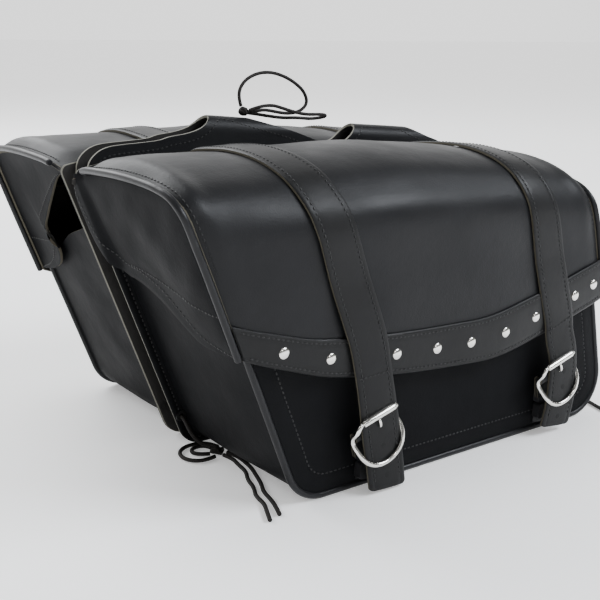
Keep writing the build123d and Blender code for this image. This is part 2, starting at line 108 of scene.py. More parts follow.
def leather(name, colour, rough, grain=900.0, depth=0.22, dist=0.0004, spread=0.12, coat=0.0, dusty=0.25, spec=0.17):
    m, nt, b = nodes_of(name)
    L = nt.links.new
    tc = add(nt, "ShaderNodeTexCoord")
    vor = add(nt, "ShaderNodeTexVoronoi", Scale=grain)
    vor.feature = "SMOOTH_F1"
    nz = add(nt, "ShaderNodeTexNoise", Scale=grain * 0.55, Detail=4.0, Roughness=0.6)
    big = add(nt, "ShaderNodeTexNoise", Scale=14.0, Detail=3.0)
    fine = add(nt, "ShaderNodeTexNoise", Scale=90.0, Detail=3.0)
    for n in (vor, nz, big, fine):
        L(tc.outputs["Object"], n.inputs["Vector"])
    mix = add(nt, "ShaderNodeMath")
    mix.operation = "ADD"
    L(vor.outputs["Distance"], mix.inputs[0])
    L(nz.outputs["Fac"], mix.inputs[1])
    bump = add(nt, "ShaderNodeBump", Strength=depth, Distance=dist)
    L(mix.outputs[0], bump.inputs["Height"])
    bump2 = add(nt, "ShaderNodeBump", Strength=0.25, Distance=0.0012)
    L(fine.outputs["Fac"], bump2.inputs["Height"])
    L(bump.outputs["Normal"], bump2.inputs["Normal"])
    L(bump2.outputs["Normal"], b.inputs["Normal"])
    ramp = add(nt, "ShaderNodeMapRange")
    ramp.inputs["To Min"].default_value = rough - spread / 2
    ramp.inputs["To Max"].default_value = rough + spread / 2
    ramp.inputs["From Min"].default_value = 0.35
    ramp.inputs["From Max"].default_value = 0.65
    L(big.outputs["Fac"], ramp.inputs["Value"])
    L(ramp.outputs["Result"], b.inputs["Roughness"])
    tone = add(nt, "ShaderNodeMix")
    tone.data_type = "RGBA"
    tone.inputs[6].default_value = (*colour, 1)
    tone.inputs[7].default_value = (*[min(1, k * (1 + dusty)) for k in colour], 1)
    L(fine.outputs["Fac"], tone.inputs[0])
    L(tone.outputs[2], b.inputs["Base Color"])
    b.inputs["Specular IOR Level"].default_value = spec
    b.inputs["Coat Weight"].default_value = coat
    b.inputs["Coat Roughness"].default_value = 0.3
    return m


def plain(name, colour, rough, metal=0.0, bump=0.0, scale=300.0, spread=0.06):
    m, nt, b = nodes_of(name)
    L = nt.links.new
    tc = add(nt, "ShaderNodeTexCoord")
    nz = add(nt, "ShaderNodeTexNoise", Scale=scale, Detail=4.0)
    L(tc.outputs["Object"], nz.inputs["Vector"])
    ramp = add(nt, "ShaderNodeMapRange")
    ramp.inputs["To Min"].default_value = rough - spread
    ramp.inputs["To Max"].default_value = rough + spread
    L(nz.outputs["Fac"], ramp.inputs["Value"])
    L(ramp.outputs["Result"], b.inputs["Roughness"])
    b.inputs["Base Color"].default_value = (*colour, 1)
    b.inputs["Metallic"].default_value = metal
    if bump:
        bp = add(nt, "ShaderNodeBump", Strength=bump, Distance=0.0003)
        L(nz.outputs["Fac"], bp.inputs["Height"])
        L(bp.outputs["Normal"], b.inputs["Normal"])
    return m


BLACK = leather("black_leather", (0.0062, 0.0064, 0.0072), 0.46, coat=0.0)
# a darker, duller copy of the black leather: painted shade for the panels, gusset and lid ends
SHADED_BLACK = leather("black_leather_painted_shade", (0.0056, 0.0058, 0.0064), 0.58, coat=0.0, spec=0.04)
STRAP = leather("strap_leather", (0.0066, 0.0066, 0.0068), 0.44, grain=1100, depth=0.16)
PIPE = leather("piping_leather", (0.012, 0.012, 0.013), 0.34, grain=1300, depth=0.10, dist=0.0003)
FLESH = leather("flesh_side", (0.020, 0.019, 0.018), 0.85, grain=500, depth=0.5)
EDGE = plain("cut_edge", (0.060, 0.052, 0.034), 0.8, bump=0.6, scale=900)
# cut edge of the flanges and yoke, much lighter than the other cut edges: partly the edge's own colour, partly a
# painted highlight where it catches the light
EDGE_HIGHLIGHT = plain("cut_edge_painted_highlight", (0.15, 0.145, 0.12), 0.8, bump=0.6, scale=900)
THREAD = plain("thread", (0.004, 0.004, 0.004), 0.6, bump=0.4, scale=1500)
# near-black discs on the straps: painted shade standing in for the punched holes
HOLE_SHADE = plain("hole_painted_shade", (0.0015, 0.0015, 0.0015), 0.9)
NICKEL = plain("nickel_plate", (0.78, 0.765, 0.72), 0.17, metal=1.0, bump=0.04, scale=160, spread=0.05)
PLASTIC = plain("black_nylon", (0.012, 0.012, 0.013), 0.45, bump=0.15, scale=700)
BOARD = plain("stiffener_board", (0.02, 0.019, 0.018), 0.8, bump=0.3, scale=500)
GROMMET = plain("black_grommet", (0.018, 0.018, 0.018), 0.32, metal=0.5, bump=0.05)
LACE = leather("lace_leather", (0.016, 0.014, 0.013), 0.62, grain=1600, depth=0.5, dist=0.0005)


def webbing():
    m, nt, b = nodes_of("black_webbing")
    L = nt.links.new
    tc = add(nt, "ShaderNodeTexCoord")
    w1 = add(nt, "ShaderNodeTexWave", Scale=260.0)
    w2 = add(nt, "ShaderNodeTexWave", Scale=260.0)
    w2.bands_direction = "Z"
    for w in (w1, w2):
        L(tc.outputs["Object"], w.inputs["Vector"])
    mul = add(nt, "ShaderNodeMath")
    mul.operation = "MULTIPLY"
    L(w1.outputs["Fac"], mul.inputs[0])
    L(w2.outputs["Fac"], mul.inputs[1])
    bp = add(nt, "ShaderNodeBump", Strength=0.6, Distance=0.0005)
    L(mul.outputs[0], bp.inputs["Height"])
    L(bp.outputs["Normal"], b.inputs["Normal"])
    b.inputs["Base Color"].default_value = (0.013, 0.013, 0.014, 1)
    b.inputs["Roughness"].default_value = 0.75
    return m


WEB = webbing()


# ------------------------------------------------------------------ small tools
def hermite(table, x):
    """Smooth reading of a table of (x, value or tuple)."""
    n = len(table)
    if x <= table[0][0]:
        return table[0][1]
    if x >= table[-1][0]:
        return table[-1][1]
    i = 0
    while i < n - 2 and x > table[i + 1][0]:
        i += 1
    x0, x1 = table[i][0], table[i + 1][0]
    h = x1 - x0
    t = (x - x0) / h

    def slope(k):
        if k == 0:
            return (table[1][1] - table[0][1]) / (table[1][0] - table[0][0])
        if k == n - 1:
            return (table[-1][1] - table[-2][1]) / (table[-1][0] - table[-2][0])
        a = (table[k][1] - table[k - 1][1]) / (table[k][0] - table[k - 1][0])
        b = (table[k + 1][1] - table[k][1]) / (table[k + 1][0] - table[k][0])
        if a * b <= 0:
            return 0.0
        return 2 * a * b / (a + b)
    y0, y1 = table[i][1], table[i + 1][1]
    m0, m1 = slope(i) * h, slope(i + 1) * h
    return ((2 * t ** 3 - 3 * t ** 2 + 1) * y0 + (t ** 3 - 2 * t ** 2 + t) * m0
            + (-2 * t ** 3 + 3 * t ** 2) * y1 + (t ** 3 - t ** 2) * m1)


def catmull(pts, closed=False, step=2.0):
    """Smooth dense line through points (tuples or Vectors), step in the points' own unit."""
    pts = [Vector(p) for p in pts]
    n = len(pts)
    out = []
    for i in range(n if closed else n - 1):
        p1, p2 = pts[i], pts[(i + 1) % n]
        p0 = pts[(i - 1) % n] if closed or i > 0 else p1 * 2 - p2
        p3 = pts[(i + 2) % n] if closed or i + 2 < n else p2 * 2 - p1
        k = max(1, int((p2 - p1).length / step))
        d0 = max((p1 - p0).length, 1e-9) ** 0.5
        d1 = max((p2 - p1).length, 1e-9) ** 0.5
        d2 = max((p3 - p2).length, 1e-9) ** 0.5
        m1 = ((p1 - p0) / d0 - (p2 - p0) / (d0 + d1) + (p2 - p1) / d1) * d1
        m2 = ((p2 - p1) / d1 - (p3 - p1) / (d1 + d2) + (p3 - p2) / d2) * d1
        for j in range(k):
            t = j / k
            out.append(p1 * (2 * t ** 3 - 3 * t ** 2 + 1) + m1 * (t ** 3 - 2 * t ** 2 + t)
                       + p2 * (-2 * t ** 3 + 3 * t ** 2) + m2 * (t ** 3 - t ** 2))
    if not closed:
        out.append(pts[-1])
    return out


def even(pts, pitch, start=0.0, stop=0.0):
    """Points at even spacing along a polyline, with the tangent at each."""
    run = [0.0]
    for a, b in zip(pts, pts[1:]):
        run.append(run[-1] + (b - a).length)
    total = run[-1]
    d, i, out = start, 0, []
    while d <= total - stop:
        while i < len(run) - 2 and run[i + 1] < d:
            i += 1
        w = (d - run[i]) / max(run[i + 1] - run[i], 1e-12)
        out.append((pts[i].lerp(pts[i + 1], w), (pts[i + 1] - pts[i]).normalized()))
        d += pitch
    return out


def noise(x, y, k=0.0):
    return (sin(x * 1.0 + 1.7 * k) * cos(y * 1.3 - 0.6 * k) + 0.6 * sin(x * 2.3 + y * 1.1 + k)
            + 0.4 * cos(x * 3.7 - y * 2.9 + 2.1 * k)) / 2.0


class Mesh:
    def __init__(self):
        self.v, self.f, self.m = [], [], []

    def grid(self, rows, closed_u=False, closed_v=False, mat=0, flip=False):
        base = len(self.v)
        nr, nc = len(rows), len(rows[0])
        for r in rows:
            self.v.extend(r)
        for i in range(nr if closed_v else nr - 1):
            for j in range(nc if closed_u else nc - 1):
                a = base + i * nc + j
                b = base + i * nc + (j + 1) % nc
                d = base + ((i + 1) % nr) * nc + j
                e = base + ((i + 1) % nr) * nc + (j + 1) % nc
                self.f.append((a, d, e, b) if flip else (a, b, e, d))
                self.m.append(mat)

    def fan(self, ring, centre, mat=0, flip=False):
        base = len(self.v)
        self.v.extend(ring)
        self.v.append(centre)
        n = len(ring)
        for i in range(n):
            t = (base + i, base + (i + 1) % n, base + n)
            self.f.append(t[::-1] if flip else t)
            self.m.append(mat)

    def tube(self, pts, r, sides=12, closed=False, flat=1.0, up=None, caps=True, mat=0):
        """Round (or flattened) bar along a dense line of points."""
        rings = []
        n = len(pts)
        prev = None
        for i in range(n):
            a = pts[(i - 1) % n] if closed else pts[max(i - 1, 0)]
            b = pts[(i + 1) % n] if closed else pts[min(i + 1, n - 1)]
            t = (b - a).normalized()
            ref = up if up is not None else (prev if prev is not None else
                                             (Vector((0, 0, 1)) if abs(t.z) < 0.9 else Vector((0, 1, 0))))
            side = t.cross(ref).normalized()
            nrm = side.cross(t).normalized()
            prev = nrm
            rr = r(i / (n - 1)) if callable(r) else r
            rings.append([pts[i] + side * cos(2 * pi * k / sides) * rr + nrm * sin(2 * pi * k / sides) * rr * flat
                          for k in range(sides)])
        self.grid(rings, closed_u=True, closed_v=closed, mat=mat)
        if caps and not closed:
            t0 = (pts[0] - pts[1]).normalized()
            t1 = (pts[-1] - pts[-2]).normalized()
            rr = r(0) if callable(r) else r
            re = r(1) if callable(r) else r
            for ring, p, t, q, fl in ((rings[0], pts[0], t0, rr, True), (rings[-1], pts[-1], t1, re, False)):
                mid = [p + (v - p) * 0.75 + t * q * 0.35 for v in ring]
                self.grid([ring, mid], closed_u=True, mat=mat, flip=fl)
                self.fan(mid, p + t * q * 0.48, mat=mat, flip=fl)

    def stitch(self, p, t, n, length=0.0028, width=0.0014, height=0.0009, mat=0):
        """One thread stitch: a small rounded bar standing on the leather at p, along t."""
        side = n.cross(t).normalized()
        base = len(self.v)
        prof = ((-0.5, 0.15, -0.7), (-0.32, 0.85, 0.35), (0.0, 1.0, 0.6), (0.32, 0.85, 0.35), (0.5, 0.15, -0.7))
        for a, w, h in prof:
            for k, g in ((-1, -0.6), (-0.6, 0.7), (0.6, 0.7), (1, -0.6)):
                self.v.append(p + t * a * length + side * k * w * width * 0.5
                              + n * (height * (0.45 * h + 0.5 * g * w)))
        for i in range(4):
            for j in range(3):
                a = base + i * 4 + j
                self.f.append((a, a + 1, a + 5, a + 4))
                self.m.append(mat)

    def stitches(self, pts, normal, pitch=0.0040, start=0.002, stop=0.002, length=0.0029, mat=0, width=0.0014):
        for p, t in even(pts, pitch, start, stop):
            n = normal(p) if callable(normal) else normal
            self.stitch(p, t, n, mat=mat, length=length, width=width)


def mirrored(v):
    return Vector((v.x, -v.y, v.z))


def make(name, mesh, mats, slot, body, nodes, left=False, solid=None, subdiv=0, bevel=0.0, rim=None,
         inner=None, smooth=True, angle=40):
    """Object from a Mesh made for the right bag; left mirrors it. solid is a thickness in metres."""
    me = bpy.data.meshes.new(name)
    vs = [mirrored(v) for v in mesh.v] if left else mesh.v
    fs = [f[::-1] for f in mesh.f] if left else mesh.f
    me.from_pydata([tuple(v) for v in vs], [], fs)
    me.polygons.foreach_set("material_index", mesh.m)
    me.validate()
    if not solid:
        bm = bmesh.new()
        bm.from_mesh(me)
        bmesh.ops.remove_doubles(bm, verts=bm.verts, dist=0.00002)
        bmesh.ops.recalc_face_normals(bm, faces=bm.faces)
        bm.to_mesh(me)
        bm.free()
    ob = bpy.data.objects.new(name, me)
    bpy.context.scene.collection.objects.link(ob)
    for m in mats:
        me.materials.append(m)
    merge = ob.modifiers.new("merge", "WELD")
    merge.merge_threshold = 0.00003
    if solid:
        md = ob.modifiers.new("thick", "SOLIDIFY")
        md.thickness = abs(solid)
        md.offset = -1 if solid > 0 else 1
        md.use_quality_normals = True
        if rim is not None:
            md.material_offset_rim = rim
        if inner is not None:
            md.material_offset = inner
    if bevel:
        md = ob.modifiers.new("bevel", "BEVEL")
        md.width = bevel
        md.segments = 2
        md.limit_method = "ANGLE"
        md.angle_limit = radians(50)
        md.harden_normals = False
    if subdiv:
        md = ob.modifiers.new("sub", "SUBSURF")
        md.levels = subdiv
        md.render_levels = subdiv
    dg = bpy.context.evaluated_depsgraph_get()
    done = bpy.data.meshes.new_from_object(ob.evaluated_get(dg))
    ob.modifiers.clear()
    ob.data = done
    if smooth:
        done.shade_smooth()
        if hasattr(done, "set_sharp_from_angle"):
            done.set_sharp_from_angle(angle=radians(angle))
    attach(ob, body)
    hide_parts(*nodes)
    return ob


def extra(name, mesh, mats, slot, body, left=False, **kw):
    """The same for a visual piece, such as stitching, that stands for no node of its own."""
    return make(name, mesh, mats, slot, body, (), left=left, **kw)


# ------------------------------------------------------------------ cords, first
def cord(name, pts, radius, body, node):
    cu = bpy.data.curves.new(name, "CURVE")
    cu.dimensions = "3D"
    cu.bevel_depth = radius
    cu.bevel_resolution = 5
    cu.resolution_u = 10
    cu.use_fill_caps = True
    sp = cu.splines.new("NURBS")
    sp.points.add(len(pts) - 1)
    for q, p in zip(sp.points, pts):
        q.co = (*p, 1)
    sp.order_u = 3
    sp.use_endpoint_u = True
    cu.materials.append(LACE)
    ob = bpy.data.objects.new(name, cu)
    bpy.context.scene.collection.objects.link(ob)
    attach(ob, body)
    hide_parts(node)
    return ob


def bottom(x):
    return -244.5 + 0.092 * (x - 69.5)


def on_floor(x, out, lift):
    X = P(x, 0, bottom(x) - 3.5).x
    return Vector((X, -out / 1000, lift / 1000))


def pts(*rows):
    return [P(x, o, z) for x, o, z in rows]


cord("yoke_lace_loop_cord", pts((106.2, 0, 67.9), (102.5, -1, 77), (107, -2, 89), (119, -2, 97.5), (134, -1, 101),
     (150, 0, 99), (165, 1, 93), (177, 1, 85), (181.5, 1, 74.5), (174.5, 0, 66.8), (163, -2, 63.6),
     (150, -3.5, 64.3), (136, -3, 66), (125, -1, 64.6), (114.6, 0, 63.4)), 0.0016, "root", "yoke_lace_loop")
cord("yoke_lace_bight_cord", pts((113, 4.1, 64.8), (122, 7, 69), (136, 7.8, 71), (149, 6.2, 68.6), (162, 4.8, 66),
     (178, 4.4, 64), (194, 4, 65), (204.5, 1.2, 64.8), (208, -3.6, 63), (204, -8.4, 61), (193, -9.9, 59.6),
     (178, -9, 60.2), (160, -9.4, 59), (142, -9, 60.2), (126, -7.4, 61.6), (113.2, -4.1, 62.2)),
     0.0016, "root", "yoke_lace_bight")
tie = on_floor
cord("tie_lead_cord", [P(50, 15.2, -218), P(50, 22, -218), P(51, 28, -223.5), P(54.5, 34, -233.5),
     tie(61, 39.5, 9.6), tie(66.5, 43.5, 7.9), tie(70.5, 47.5, 7.3)], 0.0019, "right_bag", "tie_lead")
cord("tie_loop_outer_cord", [tie(64.3, 58.5, 2.2), tie(54.5, 61, 2.2), tie(43.5, 56.5, 2.2), tie(38.5, 45, 2.2),
     tie(42, 31.5, 2.2), tie(53, 22.8, 2.2), tie(66.5, 22.2, 2.2), tie(76.5, 29.5, 2.2), tie(78.6, 40.6, 2.2)],
     0.0019, "right_bag", "tie_loop_outer")
cord("tie_loop_inner_cord", [tie(64, 50.5, 2.2), tie(57, 47.5, 2.2), tie(51.5, 40, 2.2), tie(55, 31.8, 2.2),
     tie(64, 29, 2.2), tie(71, 33, 2.2), tie(72.3, 40.2, 2.2)], 0.0019, "right_bag", "tie_loop_inner")
cord("tie_tail_inner_cord", [tie(72.5, 60.4, 2.2), tie(75, 72, 2.2), tie(71.5, 86, 2.2), tie(69, 103, 2.2),
     tie(60.5, 118, 2.2), tie(56.5, 134, 2.2), tie(48, 149, 2.2), tie(46, 165, 2.2), tie(39.5, 178, 2.2),
     tie(33, 192, 2.2)], 0.0019, "right_bag", "tie_tail_inner")
cord("tie_tail_outer_cord", [tie(78.6, 57.2, 2.2), tie(81.3, 69, 2.2), tie(80, 84, 2.2), tie(77, 100, 2.2),
     tie(71.5, 115, 2.2), tie(66, 131, 2.2), tie(58, 146, 2.2), tie(55, 161, 2.2), tie(50.5, 175, 2.2),
     tie(45, 188, 2.2)], 0.0019, "right_bag", "tie_tail_outer")
cord("tie_lace_front_cord", [P(453.5, 15.2, -185), P(453.5, 22, -185), P(455.5, 28, -189.5), P(460, 33.5, -198),
     tie(464.5, 42, 5.6), tie(467, 56, 2.3), tie(461.5, 74, 2.2), tie(464, 92, 2.2), tie(459.5, 110, 2.2),
     tie(461.5, 128, 2.2), tie(458, 146, 2.2), tie(458, 164, 2.2), tie(452.5, 180, 2.2), tie(449, 194, 2.2)],
     0.0019, "right_bag", "tie_lace_front")


# ------------------------------------------------------------------ tables of the lid
leans = [(-60, .48), (67, .435), (200, .38), (315, .345), (402, .306)]
backs = [(-60, 5), (-30, 13), (30, 18), (110, 26), (200, 32), (300, 33), (370, 29), (390, 22), (402, 11)]
rises = [(-60, .5), (-30, .9), (30, 1), (370, 1), (402, .75)]
fronts = [(-60, 187), (-30, 190), (30, 192), (110, 194), (200, 194.5), (300, 192), (370, 190), (402, 187)]
lowers = [(-60, -115), (-30, -124), (30, -137), (110, -140), (200, -138), (300, -118), (370, -98), (402, -89)]


def lid_points(x):
    b, r, f, low = (hermite(t, x) for t in (backs, rises, fronts, lowers))
    q = hermite([(-60, 8), (-15, 0), (350, 0), (402, 5)], x)
    return [(19.5, b), (38, b + 8 * r), (62, b + 11.5 * r), (98 + q * .2, b + 14 * r), (128 + q * .6, b + 12 * r),
            (150 + q, b + 7 * r), (168 + q * .7, b - 1), (180 + q * .35, b - 12), (f - 2, b - 30), (f - 0.6, -50), (f, -85),
            (f + .3, low)]


LID_N = 96
_cache = {}


def lid_line(x):
    """Outer line of the lid at a station, evenly spaced from back edge to lower edge: (out, z)."""
    key = round(x, 3)
    if key not in _cache:
        dense = catmull([(o, z, 0) for o, z in lid_points(x)], step=1.0)
        total = sum((b - a).length for a, b in zip(dense, dense[1:]))
        e = even(dense, total / LID_N * 0.99999)
        line = [(p.x, p.y) for p, _ in e][:LID_N]
        line.append((dense[-1].x, dense[-1].y))
        _cache[key] = line
    return _cache[key]


def bump_of(x, t):
    """Softness of the leather: pulled down under the straps, a little full between them."""
    crown = exp(-((t - 0.30) / 0.28) ** 2)
    dz = 0.0
    for st in (67, 315):
        dz -= 1.6 * exp(-((x - st) / 24) ** 2) * crown
    dz += 1.5 * exp(-((x - 190) / 60) ** 2) * crown
    e = min(x + 58.5, 397.5 - x)
    dz += 2.6 * exp(-((e - 17) / 10) ** 2) * exp(-((t - 0.42) / 0.34) ** 2)
    dz += 0.45 * noise(x / 34, t * 6, 1.0) * (0.3 + crown)
    return dz


def lid_at(x, t, lift=0.0):
    """Point of the lid's outer face at a station and a fraction along its section: (x, out, z)."""
    line = lid_line(x)
    k = min(max(t, 0.0), 1.0) * LID_N
    i = min(int(k), LID_N - 1)
    w = k - i
    (o0, z0), (o1, z1) = line[i], line[i + 1]
    o, z = o0 + (o1 - o0) * w, z0 + (z1 - z0) * w
    (pa, qa), (pb, qb) = line[max(i - 2, 0)], line[min(i + 3, LID_N)]
    tx, tz = pb - pa, qb - qa
    n = hypot(tx, tz)
    no, nz = -tz / n, tx / n
    d = lift + bump_of(x, t)
    o, z = o + no * d, z + nz * d
    return (x - hermite(leans, x) * z, o, z)


def lid_normal(x, t):
    a, b = P(*lid_at(x - 2, t)), P(*lid_at(x + 2, t))
    p, q = P(*lid_at(x, max(t - 0.01, 0))), P(*lid_at(x, min(t + 0.01, 1)))
    n = (b - a).cross(q - p).normalized()
    return n if n.z > -0.2 and (n.y < 0 or n.z > 0) else -n


def lid_low(x):
    return hermite(lowers, x)


def band_tall(x):
    return hermite([(-56, 28), (30, 33), (110, 36), (250, 39), (398, 38)], x)


# ------------------------------------------------------------------ outlines of the body
def sect(p, d, q, e):
    det = d[0] * (-e[1]) + e[0] * d[1]
    bx, bz = q[0] - p[0], q[1] - p[1]
    t = (bx * (-e[1]) + e[0] * bz) / det
    return (p[0] + d[0] * t, p[1] + d[1] * t)


def inset(corners, d):
    """A convex outline's corners, moved in by d. Corners run anticlockwise in x, z."""
    n = len(corners)
    lines = []
    for i in range(n):
        a, b = corners[i], corners[(i + 1) % n]
        dx, dz = b[0] - a[0], b[1] - a[1]
        L = hypot(dx, dz)
        lines.append(((a[0] - dz / L * d, a[1] + dx / L * d), (dx / L, dz / L)))
    return [sect(lines[i - 1][0], lines[i - 1][1], lines[i][0], lines[i][1]) for i in range(n)]


def rounded(corners, radii, counts, arc=10, closed=True):
    """Outline with its corners rounded: always the same number of points."""
    n = len(corners)
    out = []
    tips = []
    for i in range(n):
        p, a, b = corners[i], corners[i - 1], corners[(i + 1) % n]
        u = Vector((a[0] - p[0], a[1] - p[1])).normalized()
        v = Vector((b[0] - p[0], b[1] - p[1])).normalized()
        half = u.angle(v) / 2
        cut = radii[i] / max(1e-6, abs(sin(half) / cos(half)))
        centre = Vector(p) + (u + v).normalized() * (radii[i] / max(sin(half), 1e-6))
        s0, s1 = Vector(p) + u * cut, Vector(p) + v * cut
        tips.append((s0, s1, centre, radii[i]))
    for i in range(n):
        s0, s1, centre, r = tips[i]
        if r <= 0.01 or not arc:
            out.extend([(s0.x, s0.y)] * (arc + 1))
        else:
            a0, a1 = s0 - centre, s1 - centre
            for k in range(arc + 1):
                w = k / arc
                d = a0.lerp(a1, w)
                d = d.normalized() * r
                out.append((centre.x + d.x, centre.y + d.y))
        e0, e1 = s1, tips[(i + 1) % n][0]
        for k in range(1, counts[i]):
            w = k / counts[i]
            out.append((e0.x + (e1.x - e0.x) * w, e0.y + (e1.y - e0.y) * w))
    return out


def toward(ring, w, a, b):
    """The outline's points drawn in toward the line a-b by the fraction w."""
    a, b = Vector(a), Vector(b)
    ab = b - a
    out = []
    for p in ring:
        k = min(max((Vector(p) - a).dot(ab) / ab.length_squared, 0), 1)
        q = Vector(p).lerp(a + ab * k, w)
        out.append((q.x, q.y))
    return out


def rear(z):
    return -48.0 - 0.48 * z


def fore(z):
    return 390.3 - 0.306 * z


def body_corners(top):
    return [(rear(top), top), (69.5, -244.5), (454.3, bottom(454.3)), (fore(top), top)]


SIDES = ((False, "right"), (True, "left"))
wires = {"right": Mesh(), "left": Mesh()}
chapes = {"right": Mesh(), "left": Mesh()}

for LEFT, S in SIDES:
    bag, lid = S + "_bag", S + "_lid"

    # ---------------------------------------------------------------- back panel with its flange
    corners = [(rear(8) - 13, 8), (rear(-248) - 13, bottom(rear(-248) - 13) - 3.4), (468, bottom(468) - 3.4),
               (fore(8) + 13, 8), (363, 30), (280, 35.3), (135, 34), (60, 28), (-20, 20)]
    counts = [60, 84, 50, 12, 16, 26, 14, 16, 10]
    radii = lambda d: [6, max(24 - d, 5), max(26 - d, 5), 6, 12, 12, 12, 12, 12]
    rings = []
    for d, o in ((0.3, 15.6), (0.3, 17.0), (1.1, 17.95), (3, 18.05), (5.6, 18.05), (6.5, 17.6), (7.4, 18.05), (12, 18.1)):
        ring = rounded(inset(corners, d), radii(d), counts, arc=8)
        rings.append([P(x, o, z) for x, z in ring])
    inner = rounded(inset(corners, 12), radii(12), counts, arc=8)
    mid_a, mid_b = (80, -100), (330, -90)
    for w in (0.15, 0.35, 0.6, 0.85, 1.0):
        rings.append([P(x, 18.1, z) for x, z in toward(inner, w, mid_a, mid_b)])
    m = Mesh()
    m.grid(rings, closed_u=True, mat=0)
    rims = [[P(x, 14.0, z) for x, z in toward(inner, w, mid_a, mid_b)] for w in (1.0, 0.6, 0.2, 0.0)]
    rims += [[P(x, 14.0, z) for x, z in rounded(inset(corners, d), radii(d), counts, arc=8)] for d in (7.4, 1.0)]
    m.grid(rims, closed_u=True, mat=1)
    edge = [[P(x, o, z) for x, z in rounded(inset(corners, d), radii(d), counts, arc=8)]
            for d, o in ((1.0, 14.0), (0.3, 14.6), (0.3, 15.6))]
    m.grid(edge, closed_u=True, mat=2)
    make(S + "_back_panel_leather", m, [SHADED_BLACK, FLESH, EDGE_HIGHLIGHT], "black_leather", bag, [S + "_back_panel"], LEFT, angle=60)
    m = Mesh()
    line = [P(x, 18.0, z) for x, z in rounded(inset(corners, 6.5), radii(6.5), counts, arc=8)]
    m.stitches(line + line[:1], Vector((0, -1, 0)), pitch=0.0046, length=0.0030)
    extra(S + "_flange_stitching", m, [THREAD], "black_leather", bag, LEFT)

    # ---------------------------------------------------------------- gusset: ends and bottom
    m = Mesh()
    loop = rounded(body_corners(-20), [0.01, 34, 34, 0.01], [44, 80, 36, 2], arc=12)
    # from the rear top, round the bottom, to the front top
    n_first = 13 + 43
    start = 12
    path = loop[start:start + 1 + 43 + 13 + 79 + 13 + 35 + 1]
    cols = 34
    lay = []
    n = len(path)
    for i, (x, z) in enumerate(path):
        a, b = path[max(i - 1, 0)], path[min(i + 1, n - 1)]
        tx, tz = b[0] - a[0], b[1] - a[1]
        L = hypot(tx, tz) or 1
        nx, nz = tz / L, -tx / L
        row = []
        rear_side = nx < -0.55
        fore_side = nx > 0.55
        for j in range(cols + 1):
            w = j / cols
            out = 17.9 + (178.2 - 17.9) * w
            # the walls' top edges run down towards the front, under the lid's ends
            if rear_side:
                top = hermite([(0, -28), (18, -31), (45, -49), (90, -63), (120, -77), (150, -96), (200, -102)], out)
            else:
                top = hermite([(0, -26), (18, -28), (45, -41), (90, -51), (120, -59), (150, -71), (200, -77)], out)
            zz, xx = z, x
            if z > -150 and (rear_side or fore_side):
                zz = -150 + (z + 150) * (top + 150) / (-20 + 150)
                xx = rear(zz) if rear_side else fore(zz)
            full = sin(pi * min(max(w, 0), 1)) ** 0.7
            flat = 1.0 if abs(nx) > 0.5 else 0.25
            d = full * flat * (1.3 + 0.9 * noise(zz / 28, w * 3.2, 2.0 + nx)) - 0.5 * flat
            # the seam turned out against the flange and the piping
            d += 2.2 * exp(-((out - 17.9) / 2.2) ** 2) + 1.2 * exp(-((out - 178.2) / 2.4) ** 2)
            if rear_side:
                d = min(d, 3.0)
            row.append(P(xx + nx * d, out, zz + nz * d))
        lay.append(row)
    m.grid(lay, flip=True)
    make(S + "_gusset_leather", m, [SHADED_BLACK, FLESH, EDGE], "black_leather", bag, [S + "_gusset"], LEFT,
         solid=0.003, rim=2, inner=1, bevel=0.0005)

    # ---------------------------------------------------------------- front panel
    counts = [44, 80, 40, 70]
    corners = body_corners(-26)
    fr = lambda d: [6, max(34 - d * 0.7, 12), max(34 - d * 0.7, 12), 6]
    rings = []
    puffed = lambda d: 178.4 + 2.5 * (1 - exp(-d / 1.4)) + 1.6 * (1 - exp(-d / 26))
    for d in (0.0, 1.2, 2.6, 4.5, 7, 10, 13, 16, 17.6, 18.6, 19.6, 21.2, 24, 28):
        out = puffed(d)
        out -= 0.35 * exp(-((d - 18.6) / 0.9) ** 2)
        out += 0.35 * exp(-((d - 14) / 3.5) ** 2)
        ring = rounded(inset(corners, d), fr(d), counts, arc=10)
        rings.append([P(x, out + 0.5 * noise(x / 45, z / 38, 3.0) * min(d / 20, 1), z) for x, z in ring])
    inner = rounded(inset(corners, 28), fr(28), counts, arc=10)
    for k in range(1, 19):
        w = k / 18
        ring = toward(inner, w, (95, -125), (330, -118))
        out = puffed(28 + 70 * w)
        rings.append([P(x, out + 0.5 * noise(x / 45, z / 38, 3.0), z) for x, z in ring])
    m = Mesh()
    m.grid(rings, closed_u=True)
    make(S + "_front_panel_leather", m, [SHADED_BLACK, FLESH, EDGE], "black_leather", bag, [S + "_front_panel"], LEFT,
         solid=0.003, rim=2, inner=1)
    m = Mesh()
    line = [P(x, 180.85 + 1.6 * (1 - exp(-18.6 / 26)) + 0.5 * noise(x / 45, z / 38, 3.0) * 0.93, z)
            for x, z in rounded(inset(corners, 18.6), fr(18.6), counts, arc=10)]
    m.stitches(line + line[:1], Vector((0, -1, 0)), pitch=0.0046, length=0.0031)
    extra(S + "_front_stitching", m, [THREAD], "black_leather", bag, LEFT)

